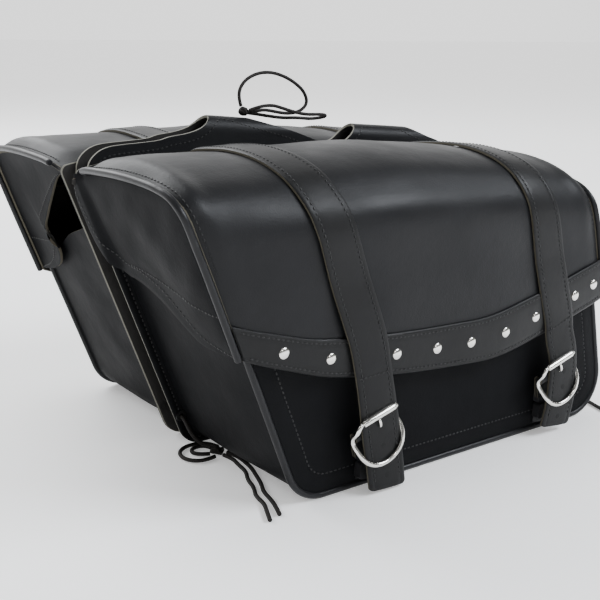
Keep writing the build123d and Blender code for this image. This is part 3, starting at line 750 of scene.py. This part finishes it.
    # ---------------------------------------------------------------- piping round the front edge
    outl = rounded(body_corners(-60), [0.01, 36, 36, 0.01], [60, 110, 60, 2], arc=16)
    seg = [q for q in outl[16:] if (q[1] < -100 and q[0] < 250) or (q[1] < -75 and q[0] >= 250)]
    cx = []
    n = len(seg)
    for i, (x, z) in enumerate(seg):
        a, b = seg[max(i - 1, 0)], seg[min(i + 1, n - 1)]
        tx, tz = b[0] - a[0], b[1] - a[1]
        L = hypot(tx, tz) or 1
        cx.append(P(x + tz / L * 0.6, 179.4, z - tx / L * 0.6))
    m = Mesh()
    m.tube(cx, 0.0030, sides=14)
    make(S + "_front_piping_bead", m, [PIPE], "piping_leather", bag, [S + "_front_piping"], LEFT)

    # ---------------------------------------------------------------- lid cover
    m = Mesh()
    xs = [-58.5 + (397.5 + 58.5) * i / 150 for i in range(151)]
    ts = [k / 80 for k in range(81)]
    rows = []
    for x in xs:
        row = []
        for t in ts:
            # the cover curves down into the end seams
            e = min(x + 58.5, 397.5 - x)
            drop = -2.6 * exp(-(e / 3.4))
            low = 1 - t
            row.append(P(*lid_at(x, t, drop)))
        rows.append(row)
    m.grid(rows)
    make(S + "_lid_cover_leather", m, [BLACK, FLESH, EDGE], "black_leather", lid, [S + "_lid_cover"], LEFT,
         solid=0.0026, rim=2, inner=1, bevel=0.0004)

    # ---------------------------------------------------------------- lid ends
    def ear(which):
        rearwards = which == "rear"
        xe = -58.5 if rearwards else 397.5
        if LEFT and rearwards:
            lowline = [(19.5, 2), (30, -1), (43, -7), (73, -26), (104, -47), (123, -62), (121, -70), (112, -80),
                       (120, -94), (145, -106), (167, -110), (186.5, -114)]
        elif rearwards:
            lowline = [(19.5, 1), (13, -6), (7.5, -16), (6.5, -32), (8.5, -52), (17, -68), (34, -77), (55, -80), (82, -90), (104, -104),
                       (126, -117), (150, -119), (170, -118), (186.5, -117)]
        else:
            lowline = [(19.5, 1), (19.5, -18), (24, -34), (42, -50), (66, -56), (90, -62), (120, -71), (150, -84),
                       (168, -88), (186.5, -89)]
        top = [(p[0], p[1]) for p in lid_line(xe)]
        low = catmull([(o, z, 0) for o, z in lowline], step=1.0)
        tot = sum((b - a).length for a, b in zip(low, low[1:]))
        N = 70
        lows = [p for p, _ in even(low, tot / N * 0.9999)][:N] + [low[-1]]
        rows = []
        K = 26
        for j in range(K + 1):
            v = j / K
            row = []
            for i in range(N + 1):
                w = i / N
                k = w * LID_N
                a = top[min(int(k), LID_N)]
                o = a[0] + (lows[i].x - a[0]) * v
                z = a[1] + (lows[i].y - a[1]) * v
                span = hypot(lows[i].x - a[0], lows[i].y - a[1])
                puff = sin(pi * min(v * 1.15, 1.0)) * min(span / 45, 1)
                if LEFT and rearwards:
                    off = 9.5 - 3.0 * puff
                elif rearwards:
                    off = 9.6 + 4.4 * puff + 1.2 * puff * noise(o / 22, z / 20, 4.0)
                    # it wraps round outside the flange of the back panel
                    off += max(0.0, 16.9 - off) * min(max((29 - o) / 8, 0.0), 1.0)
                else:
                    off = 7.2 + 1.2 * puff
                # turned over into the seam with the cover
                off -= 1.5 * exp(-v * span / 3.0)
                x = rear(z) - off if rearwards else fore(z) + off
                row.append(P(x, o, z))
            rows.append(row)
        m = Mesh()
        m.grid(rows, flip=rearwards)
        make(f"{S}_lid_{which}_end_leather", m, [SHADED_BLACK, FLESH, EDGE], "black_leather", lid,
             [f"{S}_lid_end_{which}"], LEFT, solid=0.0026, rim=2, inner=1, bevel=0.0004)
        # stitching along the lower edge, and across above the front strip
        m = Mesh()
        nrm = (P(-1, 0, -0.48) - P(0, 0, 0)).normalized() if rearwards else (P(1, 0, 0.306) - P(0, 0, 0)).normalized()
        for v in (1 - 0.10,):
            line = []
            for i in range(3, N - 1):
                r = rows[int(K * v)][i]
                line.append(r + nrm * 0.0001)
            m.stitches(line, nrm, pitch=0.0046)
        across = []
        for i in range(0, 41):
            o = 50 + (184 - 50) * i / 40
            z = (-67 - 15 * sin(pi / 2 * (i / 40) ** 1.6)) if rearwards else (-44 - 8 * i / 40)
            if LEFT and rearwards and o < 126:
                continue
            x = rear(z) - 11.4 if rearwards else fore(z) + 10.4
            across.append(P(x, o, z))
        # laid on the surface
        flat = [q for r in rows for q in r]
        laid = []
        for p in across:
            best = sorted(flat, key=lambda q: (q - p).length)[:3]
            w = [1 / max((q - p).length, 1e-6) for q in best]
            avg = sum((q * k for q, k in zip(best, w)), Vector()) / sum(w)
            laid.append(p + nrm * ((avg - p).dot(nrm) + 0.0001))
        m.stitches(laid, nrm, pitch=0.0046)
        extra(f"{S}_lid_{which}_end_stitching", m, [THREAD], "black_leather", lid, LEFT)

    ear("rear")
    ear("front")

    m = Mesh()
    for xe, off in ((-58.5, -1.6), (397.5, 1.2)):
        line = []
        for t in [0.05 + 0.95 * k / 140 for k in range(141)]:
            x, o, z = lid_at(xe, t, 0.0)
            line.append(P(x + off, o, z))
        # a lifted bead, standing a little proud of the cover
        line2 = []
        for k, t in enumerate([0.05 + 0.95 * k / 140 for k in range(141)]):
            nrm = lid_normal(max(min(xe, 396), -54), t)
            line2.append(line[k] + nrm * 0.0004)
        m.tube(line2, 0.0029, sides=14)
    make(S + "_lid_piping_bead", m, [PIPE], "piping_leather", lid, [S + "_lid_piping"], LEFT)
    m = Mesh()
    for xe in (-51.5, 390.5):
        ps, ns = [], []
        for k in range(181):
            t = 0.04 + 0.72 * k / 180
            e = 7.0
            ps.append(P(*lid_at(xe, t, -2.6 * exp(-(e / 3.4)) + 0.1)))
            ns.append(lid_normal(xe, t))
        i = 0
        for p, tt in even(ps, 0.0046, 0.002, 0.002):
            while i < len(ps) - 2 and (ps[i] - p).length > (ps[i + 1] - p).length:
                i += 1
            m.stitch(p, tt, ns[i], length=0.0031)
    extra(S + "_lid_edge_stitching", m, [THREAD], "black_leather", lid, LEFT)

    # ---------------------------------------------------------------- band along the lid's lower edge
    m = Mesh()
    rows = []
    prof = [(34.2, 0.0), (34.1, 1.4), (33.2, 2.25), (31.4, 2.35), (30.4, 2.1), (29.4, 2.35), (25, 2.55), (17, 2.7), (9, 2.55),
            (4.9, 2.3), (4.0, 2.05), (3.1, 2.3), (1.2, 2.3), (0.2, 1.7), (-0.4, 0.6), (-0.4, -0.6)]
    bx = [-56 + (395.5 + 56) * i / 190 for i in range(191)]
    for x in bx:
        f, low = hermite(fronts, x), lid_low(x)
        row = []
        for h, o in prof:
            z = low + (h if h < 12 else h + band_tall(x) - 34)
            row.append(P(x - hermite(leans, x) * z, f + 0.35 + o + 0.45 * noise(x / 34, 5.7, 1.0) * 0.3, z))
        rows.append(row)
    m.grid(rows)
    make(S + "_lid_band_leather", m, [STRAP], "strap_leather", lid, [S + "_lid_band"], LEFT)
    m = Mesh()
    for h in (30.4, 4.0):
        line = []
        for x in bx[2:-2]:
            f, low = hermite(fronts, x), lid_low(x)
            z = low + (h if h < 12 else h + band_tall(x) - 34)
            line.append(P(x - hermite(leans, x) * z, f + 0.35 + 2.3, z))
        m.stitches(line, Vector((0, -1, 0)), pitch=0.0046, length=0.0031)
    extra(S + "_band_stitching", m, [THREAD], "strap_leather", lid, LEFT)

    # ---------------------------------------------------------------- studs
    m = Mesh()
    for x in (-19, 25, 96, 145, 189, 237, 283, 346, 378):
        f, low = hermite(fronts, x), lid_low(x)
        z = low + band_tall(x) / 2 + 0.3
        cen = (x - hermite(leans, x) * z, f + 2.95, z)
        rings = []
        for r, o in ((4.8, -0.6), (4.95, 0.1), (4.8, 0.6), (4.3, 1.05), (3.5, 1.45), (2.4, 1.75), (1.2, 1.93)):
            rings.append([P(cen[0] + r * cos(2 * pi * k / 28), cen[1] + o, cen[2] + r * sin(2 * pi * k / 28))
                          for k in range(28)])
        m.grid(rings, closed_u=True)
        m.fan(rings[-1], P(cen[0], cen[1] + 1.98, cen[2]))
    make(S + "_studs", m, [NICKEL], "nickel_plate", lid, [S + "_lid_studs"], LEFT)

    # ---------------------------------------------------------------- straps
    def strap(which, station, below, holes, end_curl=0.0):
        """Rows of (centre x, out, z, unit along the bag) down the strap."""
        half = 19.0
        spots = []
        for k in range(61):
            t = 0.015 + 0.765 * k / 60
            x, o, z = lid_at(station, t, 2.2)
            spots.append((x, o, z))
        last = spots[-1]
        # leaves the cover to pass over the band, then hangs straight down
        spots = [q for q in spots if q[2] > -62 or q[1] < 180]
        f = hermite(fronts, station)
        m0 = hermite(leans, station)
        tail = [(station + m0 * 82, f + 3.6, -82), (station + m0 * 108, f + 4.9, -108)] + below
        dense = catmull([Vector(q) for q in spots[::4] + [spots[-1]] + tail if True], step=2.4)
        # smooth the join
        for _ in range(3):
            dense = [dense[0]] + [(a + b * 2 + d) / 4 for a, b, d in zip(dense, dense[1:], dense[2:])] + [dense[-1]]
        last = dense[-2], dense[-1]
        dense = dense[:-2] + [dense[-3].lerp(last[1], k / 12) for k in range(1, 13)]
        n = len(dense)
        across = []
        for i, q in enumerate(dense):
            a, b = dense[max(i - 2, 0)], dense[min(i + 2, n - 1)]
            t = b - a
            if q.z > -20:
                # over the crown the strap follows the ridge
                d1 = Vector(lid_at(station + 12, 0.3, 0)) - Vector(lid_at(station - 12, 0.3, 0))
                e = Vector((1, 0, d1.z / max(d1.x, 1e-6)))
            else:
                e = Vector((1, 0, 0))
            # square to the strap's run in the front view
            w = min(max((-q.z - 5) / 60, 0), 1)
            sq = Vector((-t.z, 0, t.x)) if hypot(t.x, t.z) > 1e-6 else Vector((1, 0, 0))
            if sq.x < 0:
                sq = -sq
            if w > 0:
                hang = min(max((-q.z - 175) / 55, 0), 1)
                e = e.normalized().lerp(sq.normalized(), 0.75 * w * (1 - 0.65 * hang))
            across.append(e.normalized())
        for _ in range(6):
            across = [across[0]] + [(a + b * 2 + d).normalized() for a, b, d in zip(across, across[1:], across[2:])] \
                + [across[-1]]
        length = 0
        rows = []
        prof = [(-1, -1.0), (-1, 0.8), (-0.955, 1.45), (-0.85, 1.65), (-0.755, 1.62), (-0.725, 1.5), (-0.695, 1.65), (-0.5, 1.85),
                (-0.2, 1.95), (0.2, 1.95), (0.5, 1.85), (0.695, 1.65), (0.725, 1.5), (0.755, 1.62), (0.85, 1.65),
                (0.955, 1.45), (1, 0.8), (1, -1.0), (0.8, -1.4), (-0.8, -1.4)]
        m = Mesh()
        frames = []
        for i, q in enumerate(dense):
            a, b = dense[max(i - 1, 0)], dense[min(i + 1, n - 1)]
            t = (b - a).normalized()
            e = across[i]
            nrm = e.cross(t).normalized()
            left_run = (dense[-1] - q).length
            # rounded corners at the end of the billet
            hw = half + 1.0 * min(max((-q.z - 150) / 30, 0), 1)
            if left_run < 4:
                hw = hw - 4 + sqrt(max(16 - (4 - left_run) ** 2, 0))
            frames.append((q, t, e, nrm, hw))
            rows.append([P(*(q + e * (u * hw) + nrm * v)) for u, v in prof])
        m.grid(rows, closed_u=True, flip=False)
        # edges take the colour of cut leather
        k = len(prof)
        for idx in range(len(m.m)):
            j = idx % k
            if j in (0, 16, 17, 19):
                m.m[idx] = 1 if j in (0, 16) else 0
            if j in (0, 16):
                m.m[idx] = 1
        for ring, fl in ((rows[0], True), (rows[-1], False)):
            m.fan(ring, sum(ring, Vector()) / len(ring), mat=1, flip=fl)
        make(f"{S}_strap_{which}", m, [STRAP, EDGE], "strap_leather", lid, [f"{S}_lid_strap_{which}"], LEFT, angle=50)
        m = Mesh()
        for u in (-0.725, 0.725):
            line = [P(*(q + e * (u * half) + nrm * 1.75)) for q, t, e, nrm, hw in frames[:-9]]
            i = 0
            for p, tt in even(line, 0.0046, 0.004, 0.006):
                # the normal of the nearest row
                while i < len(line) - 2 and (line[i] - p).length > (line[i + 1] - p).length:
                    i += 1
                nr = frames[i][3]
                nn = P(nr.x, nr.y, nr.z) - P(0, 0, 0)
                m.stitch(p, tt, nn.normalized(), length=0.0031)
        extra(f"{S}_strap_{which}_stitching", m, [THREAD], "strap_leather", lid, LEFT)
        # punched holes: near-black discs laid just on the strap, painted shade standing in for the holes
        m = Mesh()
        for hz in holes:
            i = min(range(len(frames)), key=lambda j: abs(frames[j][0].z - hz) + (100 if frames[j][0].z > -60 else 0))
            q, t, e, nrm, hw = frames[i]
            spin = [e * cos(2 * pi * a / 20) + t * sin(2 * pi * a / 20) for a in range(20)]
            ring = [[P(*(q + d * rr + nrm * dd)) for d in spin] for rr, dd in ((2.75, 1.9), (2.6, 2.02), (2.3, 2.05))]
            m.grid(ring, closed_u=True)
            m.fan(ring[-1], P(*(q + nrm * 2.03)))
        extra(f"{S}_strap_{which}_holes", m, [HOLE_SHADE], "strap_leather", lid, LEFT)
        m = Mesh()
        zc = lid_low(station) + 4
        i = min(range(len(frames)), key=lambda j: abs(frames[j][0].z - zc) + (100 if frames[j][0].z > -60 else 0))
        q, t, e, nrm, hw = frames[i]
        tilt = (lid_low(station + 10) - lid_low(station - 10)) / 20
        line = [P(*(q + e * u - t * (tilt * u) + nrm * 1.95)) for u in range(-17, 18)]
        nn = (P(nrm.x, nrm.y, nrm.z) - P(0, 0, 0)).normalized()
        m.stitches(line, nn, pitch=0.0046, length=0.0031)
        extra(f"{S}_strap_{which}_cross_stitching", m, [THREAD], "strap_leather", lid, LEFT)
        return frames

    rear_frames = strap("rear", 67, [(122, 199.2, -136), (126.5, 200.4, -155), (132, 200.6, -176), (136.6, 200.6, -194),
                        (142.3, 200.4, -214), (147.5, 201.0, -238)], (-182, -200, -226))
    front_frames = strap("front", 315, [(353.5, 197.8, -120), (359, 199.8, -137), (362, 200.4, -152), (363.5, 200.4, -168),
                         (364.5, 200.0, -190), (363.5, 197.6, -213)], (-157, -172, -187, -203))

    # ---------------------------------------------------------------- buckles
    turn = radians(20.5)
    for which, bx0, bz0, shift in (("rear", 132.0, -183.2, 0.0), ("front", 357.0, -158.0, -1.0)):
        q = lambda u, v, o: P(bx0 + u * cos(turn) + v * sin(turn), o, bz0 + u * sin(turn) - v * cos(turn))
        m = wires[S]
        loop = [(-19.2 + shift, -14, 204.4), (-22.0 + shift * .8, -11.4, 204.2), (-24 + shift / 2, -8, 203.2), (-26.3, -2.5, 198.4), (-26.8, 2, 197.4),
                (-26.2, 8, 199.6), (-23.8, 17, 203), (-18.8, 24.3, 203.9), (-11, 29.4, 203.9), (-1.5, 31.2, 203.9), (8.5, 29.2, 203.9), (16.2, 24, 203.9),
                (21, 16.5, 203), (23.2, 8, 199.8), (22.6, 2.5, 197.0), (20.5, -2.5, 196.4), (20.5 + shift * .4, -7.5, 198.4), (19.6 + shift * .8, -11.6, 202.6),
                (19 + shift, -14, 204.4)]
        dense = catmull([q(*a) for a in loop], step=0.0014)
        m.tube(dense, 0.0021, sides=16, flat=0.85, up=Vector((0, -1, 0)))
        bar = [q(-26.5, 0, 195.4), q(-10, 0, 195.2), q(10, 0, 195.2), q(26.5, 0, 196.5)]
        m.tube(catmull([q(-26.6, 0, 197.2), q(-24, 0, 195.6), q(-12, 0, 195), q(12, 0, 195), q(19, 0, 195.4), q(21.6, 0, 196.6)], step=0.003),
               0.0018, sides=12)
        m.tube([q(-18 + shift, -14, 204.4), q(0, -14, 204.4), q(19 + shift, -14, 204.4)], 0.0015, sides=12)
        # roller
        mm = Mesh()
        a, b = q(-17.4 + shift, -14, 204.4), q(16.9 + shift, -14, 204.4)
        ax = (b - a).normalized()
        e1 = ax.cross(Vector((0, -1, 0))).normalized()
        e2 = ax.cross(e1).normalized()
        L = (b - a).length
        rings = []
        for d, r in ((0.0, 0.0017), (0.0, 0.0027), (0.0003, 0.0030), (0.0012, 0.00315), (0.5, 0.00315), (-0.0012, 0.00315),
                     (-0.0003, 0.0030), (-0.00001, 0.0027), (-0.00001, 0.0017)):
            dd = L * 0.5 if d == 0.5 else (L + d if d < 0 else d)
            rings.append([a + ax * dd + (e1 * cos(2 * pi * k / 32) + e2 * sin(2 * pi * k / 32)) * r for k in range(32)])
        mm.grid(rings, closed_u=True, closed_v=True)
        make(f"{S}_roller_{which}_sleeve", mm, [NICKEL], "nickel_plate", f"{S}_roller_{which}",
             [f"{S}_buckle_roller_{which}"], LEFT)
        # prong
        mm = Mesh()
        mm.tube(catmull([q(0, -1.4, 197), q(0, -2.2, 201), q(0, -3.2, 203.4), q(0, -5.5, 204.2), q(0, -9.4, 203.9)], step=0.0008),
                lambda w: 0.0016 - 0.0004 * w, sides=14)
        mm.tube([q(-2.8, 0, 195), q(2.8, 0, 195)], 0.0029, sides=20)
        make(f"{S}_prong_{which}_pin", mm, [NICKEL], "nickel_plate", f"{S}_prong_{which}",
             [f"{S}_buckle_prong_{which}"], LEFT)
        # chape: leather folded round the centre bar
        ch = chapes[S]
        for u0, u1 in ((-23.5, -4.2), (4.2, 21.5)):
            rows = []
            for k in range(15):
                u = u0 + (u1 - u0) * k / 14
                row = []
                base = [(20, 190.6), (12, 191.4), (6, 192.2)]
                for v, o in base:
                    row.append(q(u, v, o))
                for a in range(13):
                    row.append(q(u, 3.4 * cos(radians(60 + 22 * a)), 195 + 3.4 * sin(radians(60 + 22 * a))))
                row.append(q(u, 2.5, 191.0))
                row.append(q(u, 8, 190.2))
                row.append(q(u, 14, 189.4))
                row.append(q(u, 20, 189.0))
                rows.append(row)
            ch.grid(rows, flip=True)
    make(S + "_buckle_frames_wire", wires[S], [NICKEL], "nickel_plate", lid, [S + "_buckle_frames"], LEFT)
    make(S + "_buckle_chape_leather", chapes[S], [STRAP, FLESH, EDGE], "strap_leather", lid,
         [S + "_buckle_chapes"], LEFT, solid=-0.0012, rim=2, inner=1)

    # ---------------------------------------------------------------- webbing tethers
    m = Mesh()
    for tx, tz, h in ((140, -219, 30), (362, -194.5, 38)):
        rows = []
        for i in range(13):
            v = -h / 2 + h * i / 12
            row = []
            for j in range(13):
                u = -12.5 + 25 * j / 12
                row.append(P(tx + u, 183.0 + 0.25 * cos(j / 12 * 6.28 * 3) * (0.2), tz + v))
            rows.append(row)
        m.grid(rows, flip=False)
    make(S + "_tether_webbing", m, [WEB], "black_webbing", bag, [S + "_tether_straps"], LEFT, solid=0.0018,
         bevel=0.0004)

# ------------------------------------------------------------------ yoke
yoke_edge = [(-50, 9), (-48.6, 14), (-45, 19.5), (-38, 25), (-30, 28), (-18, 30), (-2, 32), (17, 35), (26, 38), (43, 41.5),
             (56, 46), (63, 51), (68, 56.5), (73, 61), (80, 63.5), (88, 62.5), (100, 60.4), (118, 56.6), (140, 52.2), (160, 48), (178, 43.2),
             (190, 40), (200, 38), (208, 37.3), (216, 38.3), (223, 41.2), (229, 46), (235, 53), (241, 60), (248, 63), (270, 63.5), (296, 62),
             (310, 57.5), (322, 53.4), (334, 49.4), (346, 46.4), (355, 43), (361, 39), (364.5, 34.5)]


def yoke_top(x):
    return hermite(yoke_edge, x)


def panel_top(x):
    return hermite([(-61, 8), (-20, 20), (60, 28), (135, 34), (280, 35.3), (363, 30), (400, 8)], x)


def yoke_half(LEFT, S, nodes):
    xs = []
    x = -50.0
    while x < 364.5:
        xs.append(x)
        steep = x < -36 or 50 < x < 84 or 218 < x < 250 or x > 350
        x += 0.8 if steep else 2.2
    xs.append(364.5)
    rows, seams = [], []
    N = 30
    for x in xs:
        wav = 0.5 * noise(x / 40, 0.3, 6.0 if LEFT else 5.0)
        top = yoke_top(x)
        crown = 58.0 + 0.8 * noise(x / 60, 1.0, 5.0)
        low = min(panel_top(x) - 16, top - 2)
        r = 12.0
        h_flat = crown - r - low
        if top >= crown - 0.05:
            total = h_flat + r * pi / 2
        elif top > crown - r:
            total = h_flat + r * asin((top - (crown - r)) / r)
        else:
            total = top - low
        row = []
        for j in range(N + 1):
            d = total * j / N
            if d <= h_flat:
                o, z = 12.0, low + d
            else:
                a = (d - h_flat) / r
                o, z = r * cos(a), crown - r + r * sin(a)
            # the free flap stands a little open
            o += wav * 0.35 * min(d / 20, 1) if d <= h_flat else 0.0
            row.append(P(x, max(o, 0.02), z))
        rows.append(row)
    m = Mesh()
    m.grid(rows, flip=True)
    make(f"yoke_{S}_leather", m, [BLACK, FLESH, EDGE_HIGHLIGHT], "black_leather", "root", nodes, LEFT, solid=0.0026, rim=2,
         inner=1, bevel=0.0004)
    # stitch line: 8 mm inside the upper edge
    m = Mesh()

    def surface(x, z):
        crown = 58.0 + 0.8 * noise(x / 60, 1.0, 5.0)
        r = 12.0
        if z <= crown - r:
            return P(x, 12.05, z), Vector((0, -1, 0))
        a = min((z - (crown - r)) / r, 1)
        a = asin(a)
        p = P(x, 12.05 * cos(a), crown - r + 12.05 * sin(a))
        n = (P(0, cos(a), sin(a)) - P(0, 0, 0)).normalized()
        return p, n
    line = []
    last = None
    for i in range(1, len(xs) - 1):
        x = xs[i]
        g = (yoke_top(x + 1) - yoke_top(x - 1)) / 2
        n = hypot(1, g)
        px, pz = x + g / n * 7.5, yoke_top(x) - 7.5 / n
        if last is not None and px <= last + 0.3:
            continue
        if px < -44 or px > 358:
            continue
        last = px
        pz = min(pz, yoke_top(px) - 4)
        line.append((px, pz))
    spans, cur = [], []
    for px, pz in line:
        if pz > 56.2:
            if len(cur) > 3:
                spans.append(cur)
            cur = []
        else:
            cur.append((px, pz))
    if len(cur) > 3:
        spans.append(cur)
    for sp in spans:
        pl = [surface(px, pz)[0] for px, pz in sp]
        for p, t in even(pl, 0.0046, 0.002, 0.002):
            x = (p.x * 1000 - OX) * c - (p.z * 1000 - OZ) * s
            z = (p.x * 1000 - OX) * s + (p.z * 1000 - OZ) * c
            m.stitch(p, t, surface(x, z)[1], length=0.0031)
    extra(f"yoke_{S}_stitching", m, [THREAD], "black_leather", "root", LEFT)


yoke_half(False, "right", ["yoke_right"])
yoke_half(True, "left", ["yoke_left"])


# ------------------------------------------------------------------ knots
def knot(name, centre, r, squash, node, body, wraps):
    m = Mesh()
    for k, (ax, rr, tr) in enumerate(wraps):
        ring = []
        ax = Vector(ax).normalized()
        e1 = ax.orthogonal().normalized()
        e2 = ax.cross(e1)
        for i in range(36):
            a = 2 * pi * i / 36
            p = (e1 * cos(a) + e2 * sin(a)) * rr
            p = Vector((p.x, p.y, p.z * squash)) + ax * 0.0006 * sin(2 * a + k)
            ring.append(centre + p)
        m.tube(ring, tr, sides=12, closed=True)
    make(name, m, [LACE], "lace_leather", body, [node])


knot("yoke_knot_lace", P(109, 0, 63.3), 0.005, 0.85, "yoke_knot", "root",
     (((1, 0.2, 0.3), 0.0034, 0.0016), ((0.3, 1, 0.5), 0.0032, 0.0016), ((0.2, -0.6, 1), 0.0030, 0.0016)))
knot("tie_knot_lace", tie(72, 50, 2.9), 0.006, 0.55, "tie_knot", "right_bag",
     (((1, 0.1, 0.5), 0.0050, 0.0018), ((0.3, 1, 0.6), 0.0052, 0.0018), ((0.1, -0.2, 1), 0.0042, 0.0018)))

# ------------------------------------------------------------------ CAD pieces that are shown as they are
shown = {"back_board": BOARD, "tie_grommets": GROMMET, "clip_females": PLASTIC, "clip_males": PLASTIC}
for S in ("right", "left"):
    for k, mat in shown.items():
        ob = bpy.data.objects.get(f"{S}_{k}")
        if ob is not None:
            ob.data.materials.clear()
            ob.data.materials.append(mat)

# ------------------------------------------------------------------ floor, light, world
me = bpy.data.meshes.new("floor")
me.from_pydata([(-40, -40, 0), (40, -40, 0), (40, 40, 0), (-40, 40, 0)], [], [(0, 1, 2, 3)])
ground = bpy.data.objects.new("floor", me)
bpy.context.scene.collection.objects.link(ground)
ground.location.z = -0.0002
paper = plain("floor_paper", (0.95, 0.95, 0.95), 0.85, scale=40, bump=0.02)
# the sweep is lit from inside, more so with distance, so that it goes to white
pn = paper.node_tree
pt = add(pn, "ShaderNodeTexCoord")
pl = pn.nodes.new("ShaderNodeVectorMath")
pl.operation = "LENGTH"
pn.links.new(pt.outputs["Object"], pl.inputs[0])
pr = pn.nodes.new("ShaderNodeMapRange")
pr.interpolation_type = "SMOOTHSTEP"
pr.inputs["From Min"].default_value = 0.3
pr.inputs["From Max"].default_value = 3.2
pr.inputs["To Min"].default_value = 0.34
pr.inputs["To Max"].default_value = 0.95
pn.links.new(pl.outputs["Value"], pr.inputs["Value"])
pb = next(n for n in pn.nodes if n.type == "BSDF_PRINCIPLED")
pb.inputs["Emission Color"].default_value = (1, 1, 1, 1)
pn.links.new(pr.outputs["Result"], pb.inputs["Emission Strength"])
me.materials.append(paper)
ground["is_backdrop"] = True


def area(name, loc, target, size, power, size_y=None, tint=(1, 1, 1)):
    ld = bpy.data.lights.new(name, "AREA")
    ld.energy = power
    ld.size = size
    if size_y:
        ld.shape = "RECTANGLE"
        ld.size_y = size_y
    ld.color = tint
    ob = bpy.data.objects.new(name, ld)
    bpy.context.scene.collection.objects.link(ob)
    ob.location = loc
    d = Vector(target) - Vector(loc)
    ob.rotation_euler = d.to_track_quat("-Z", "Y").to_euler()
    return ob


area("back_light", (-0.5, 2.4, 2.1), (0.1, 0.7, 0.0), 2.6, 95, size_y=1.6, tint=(0.96, 0.98, 1.0))
area("crown_light", (1.35, -1.55, 1.8), (0.05, -0.15, 0.2), 1.7, 84, size_y=0.7, tint=(0.90, 0.94, 1.0))
area("top_light", (-0.3, 0.3, 2.4), (0, 0.1, 0.1), 1.1, 22, tint=(0.96, 0.98, 1.0))
area("rear_light", (-2.2, 0.0, 1.5), (-0.1, 0, 0.15), 0.9, 6)
area("front_light", (-0.3, -2.4, 1.3), (0.05, -0.1, 0.1), 0.5, 9)
world = bpy.data.worlds.new("studio")
bpy.context.scene.world = world
world.use_nodes = True
nt = world.node_tree
bg = nt.nodes["Background"]
tc = nt.nodes.new("ShaderNodeTexCoord")
sep = nt.nodes.new("ShaderNodeSeparateXYZ")
nt.links.new(tc.outputs["Generated"], sep.inputs["Vector"])
mr = nt.nodes.new("ShaderNodeMapRange")
mr.interpolation_type = "SMOOTHSTEP"
mr.inputs["From Min"].default_value = 0.0
mr.inputs["From Max"].default_value = 0.7
mr.inputs["To Min"].default_value = 0.14
mr.inputs["To Max"].default_value = 1.2
nt.links.new(sep.outputs["Y"], mr.inputs["Value"])
mz = nt.nodes.new("ShaderNodeMapRange")
mz.interpolation_type = "SMOOTHSTEP"
mz.inputs["From Min"].default_value = 0.12
mz.inputs["From Max"].default_value = 0.6
mz.inputs["To Min"].default_value = 1.4
mz.inputs["To Max"].default_value = 1.3
nt.links.new(sep.outputs["Z"], mz.inputs["Value"])
both = nt.nodes.new("ShaderNodeMath")
both.operation = "MULTIPLY"
nt.links.new(mr.outputs["Result"], both.inputs[0])
nt.links.new(mz.outputs["Result"], both.inputs[1])
nt.links.new(both.outputs[0], bg.inputs["Strength"])
bg.inputs["Color"].default_value = (1, 1, 1, 1)

seen_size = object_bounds()


def listed(b):
    if isinstance(b, dict):
        return {k: listed(v) for k, v in b.items()}
    if hasattr(b, "__len__"):
        return [listed(b[i]) for i in range(len(b))]
    return float(b)


{"cad": listed(cad_size), "visual": listed(seen_size)}
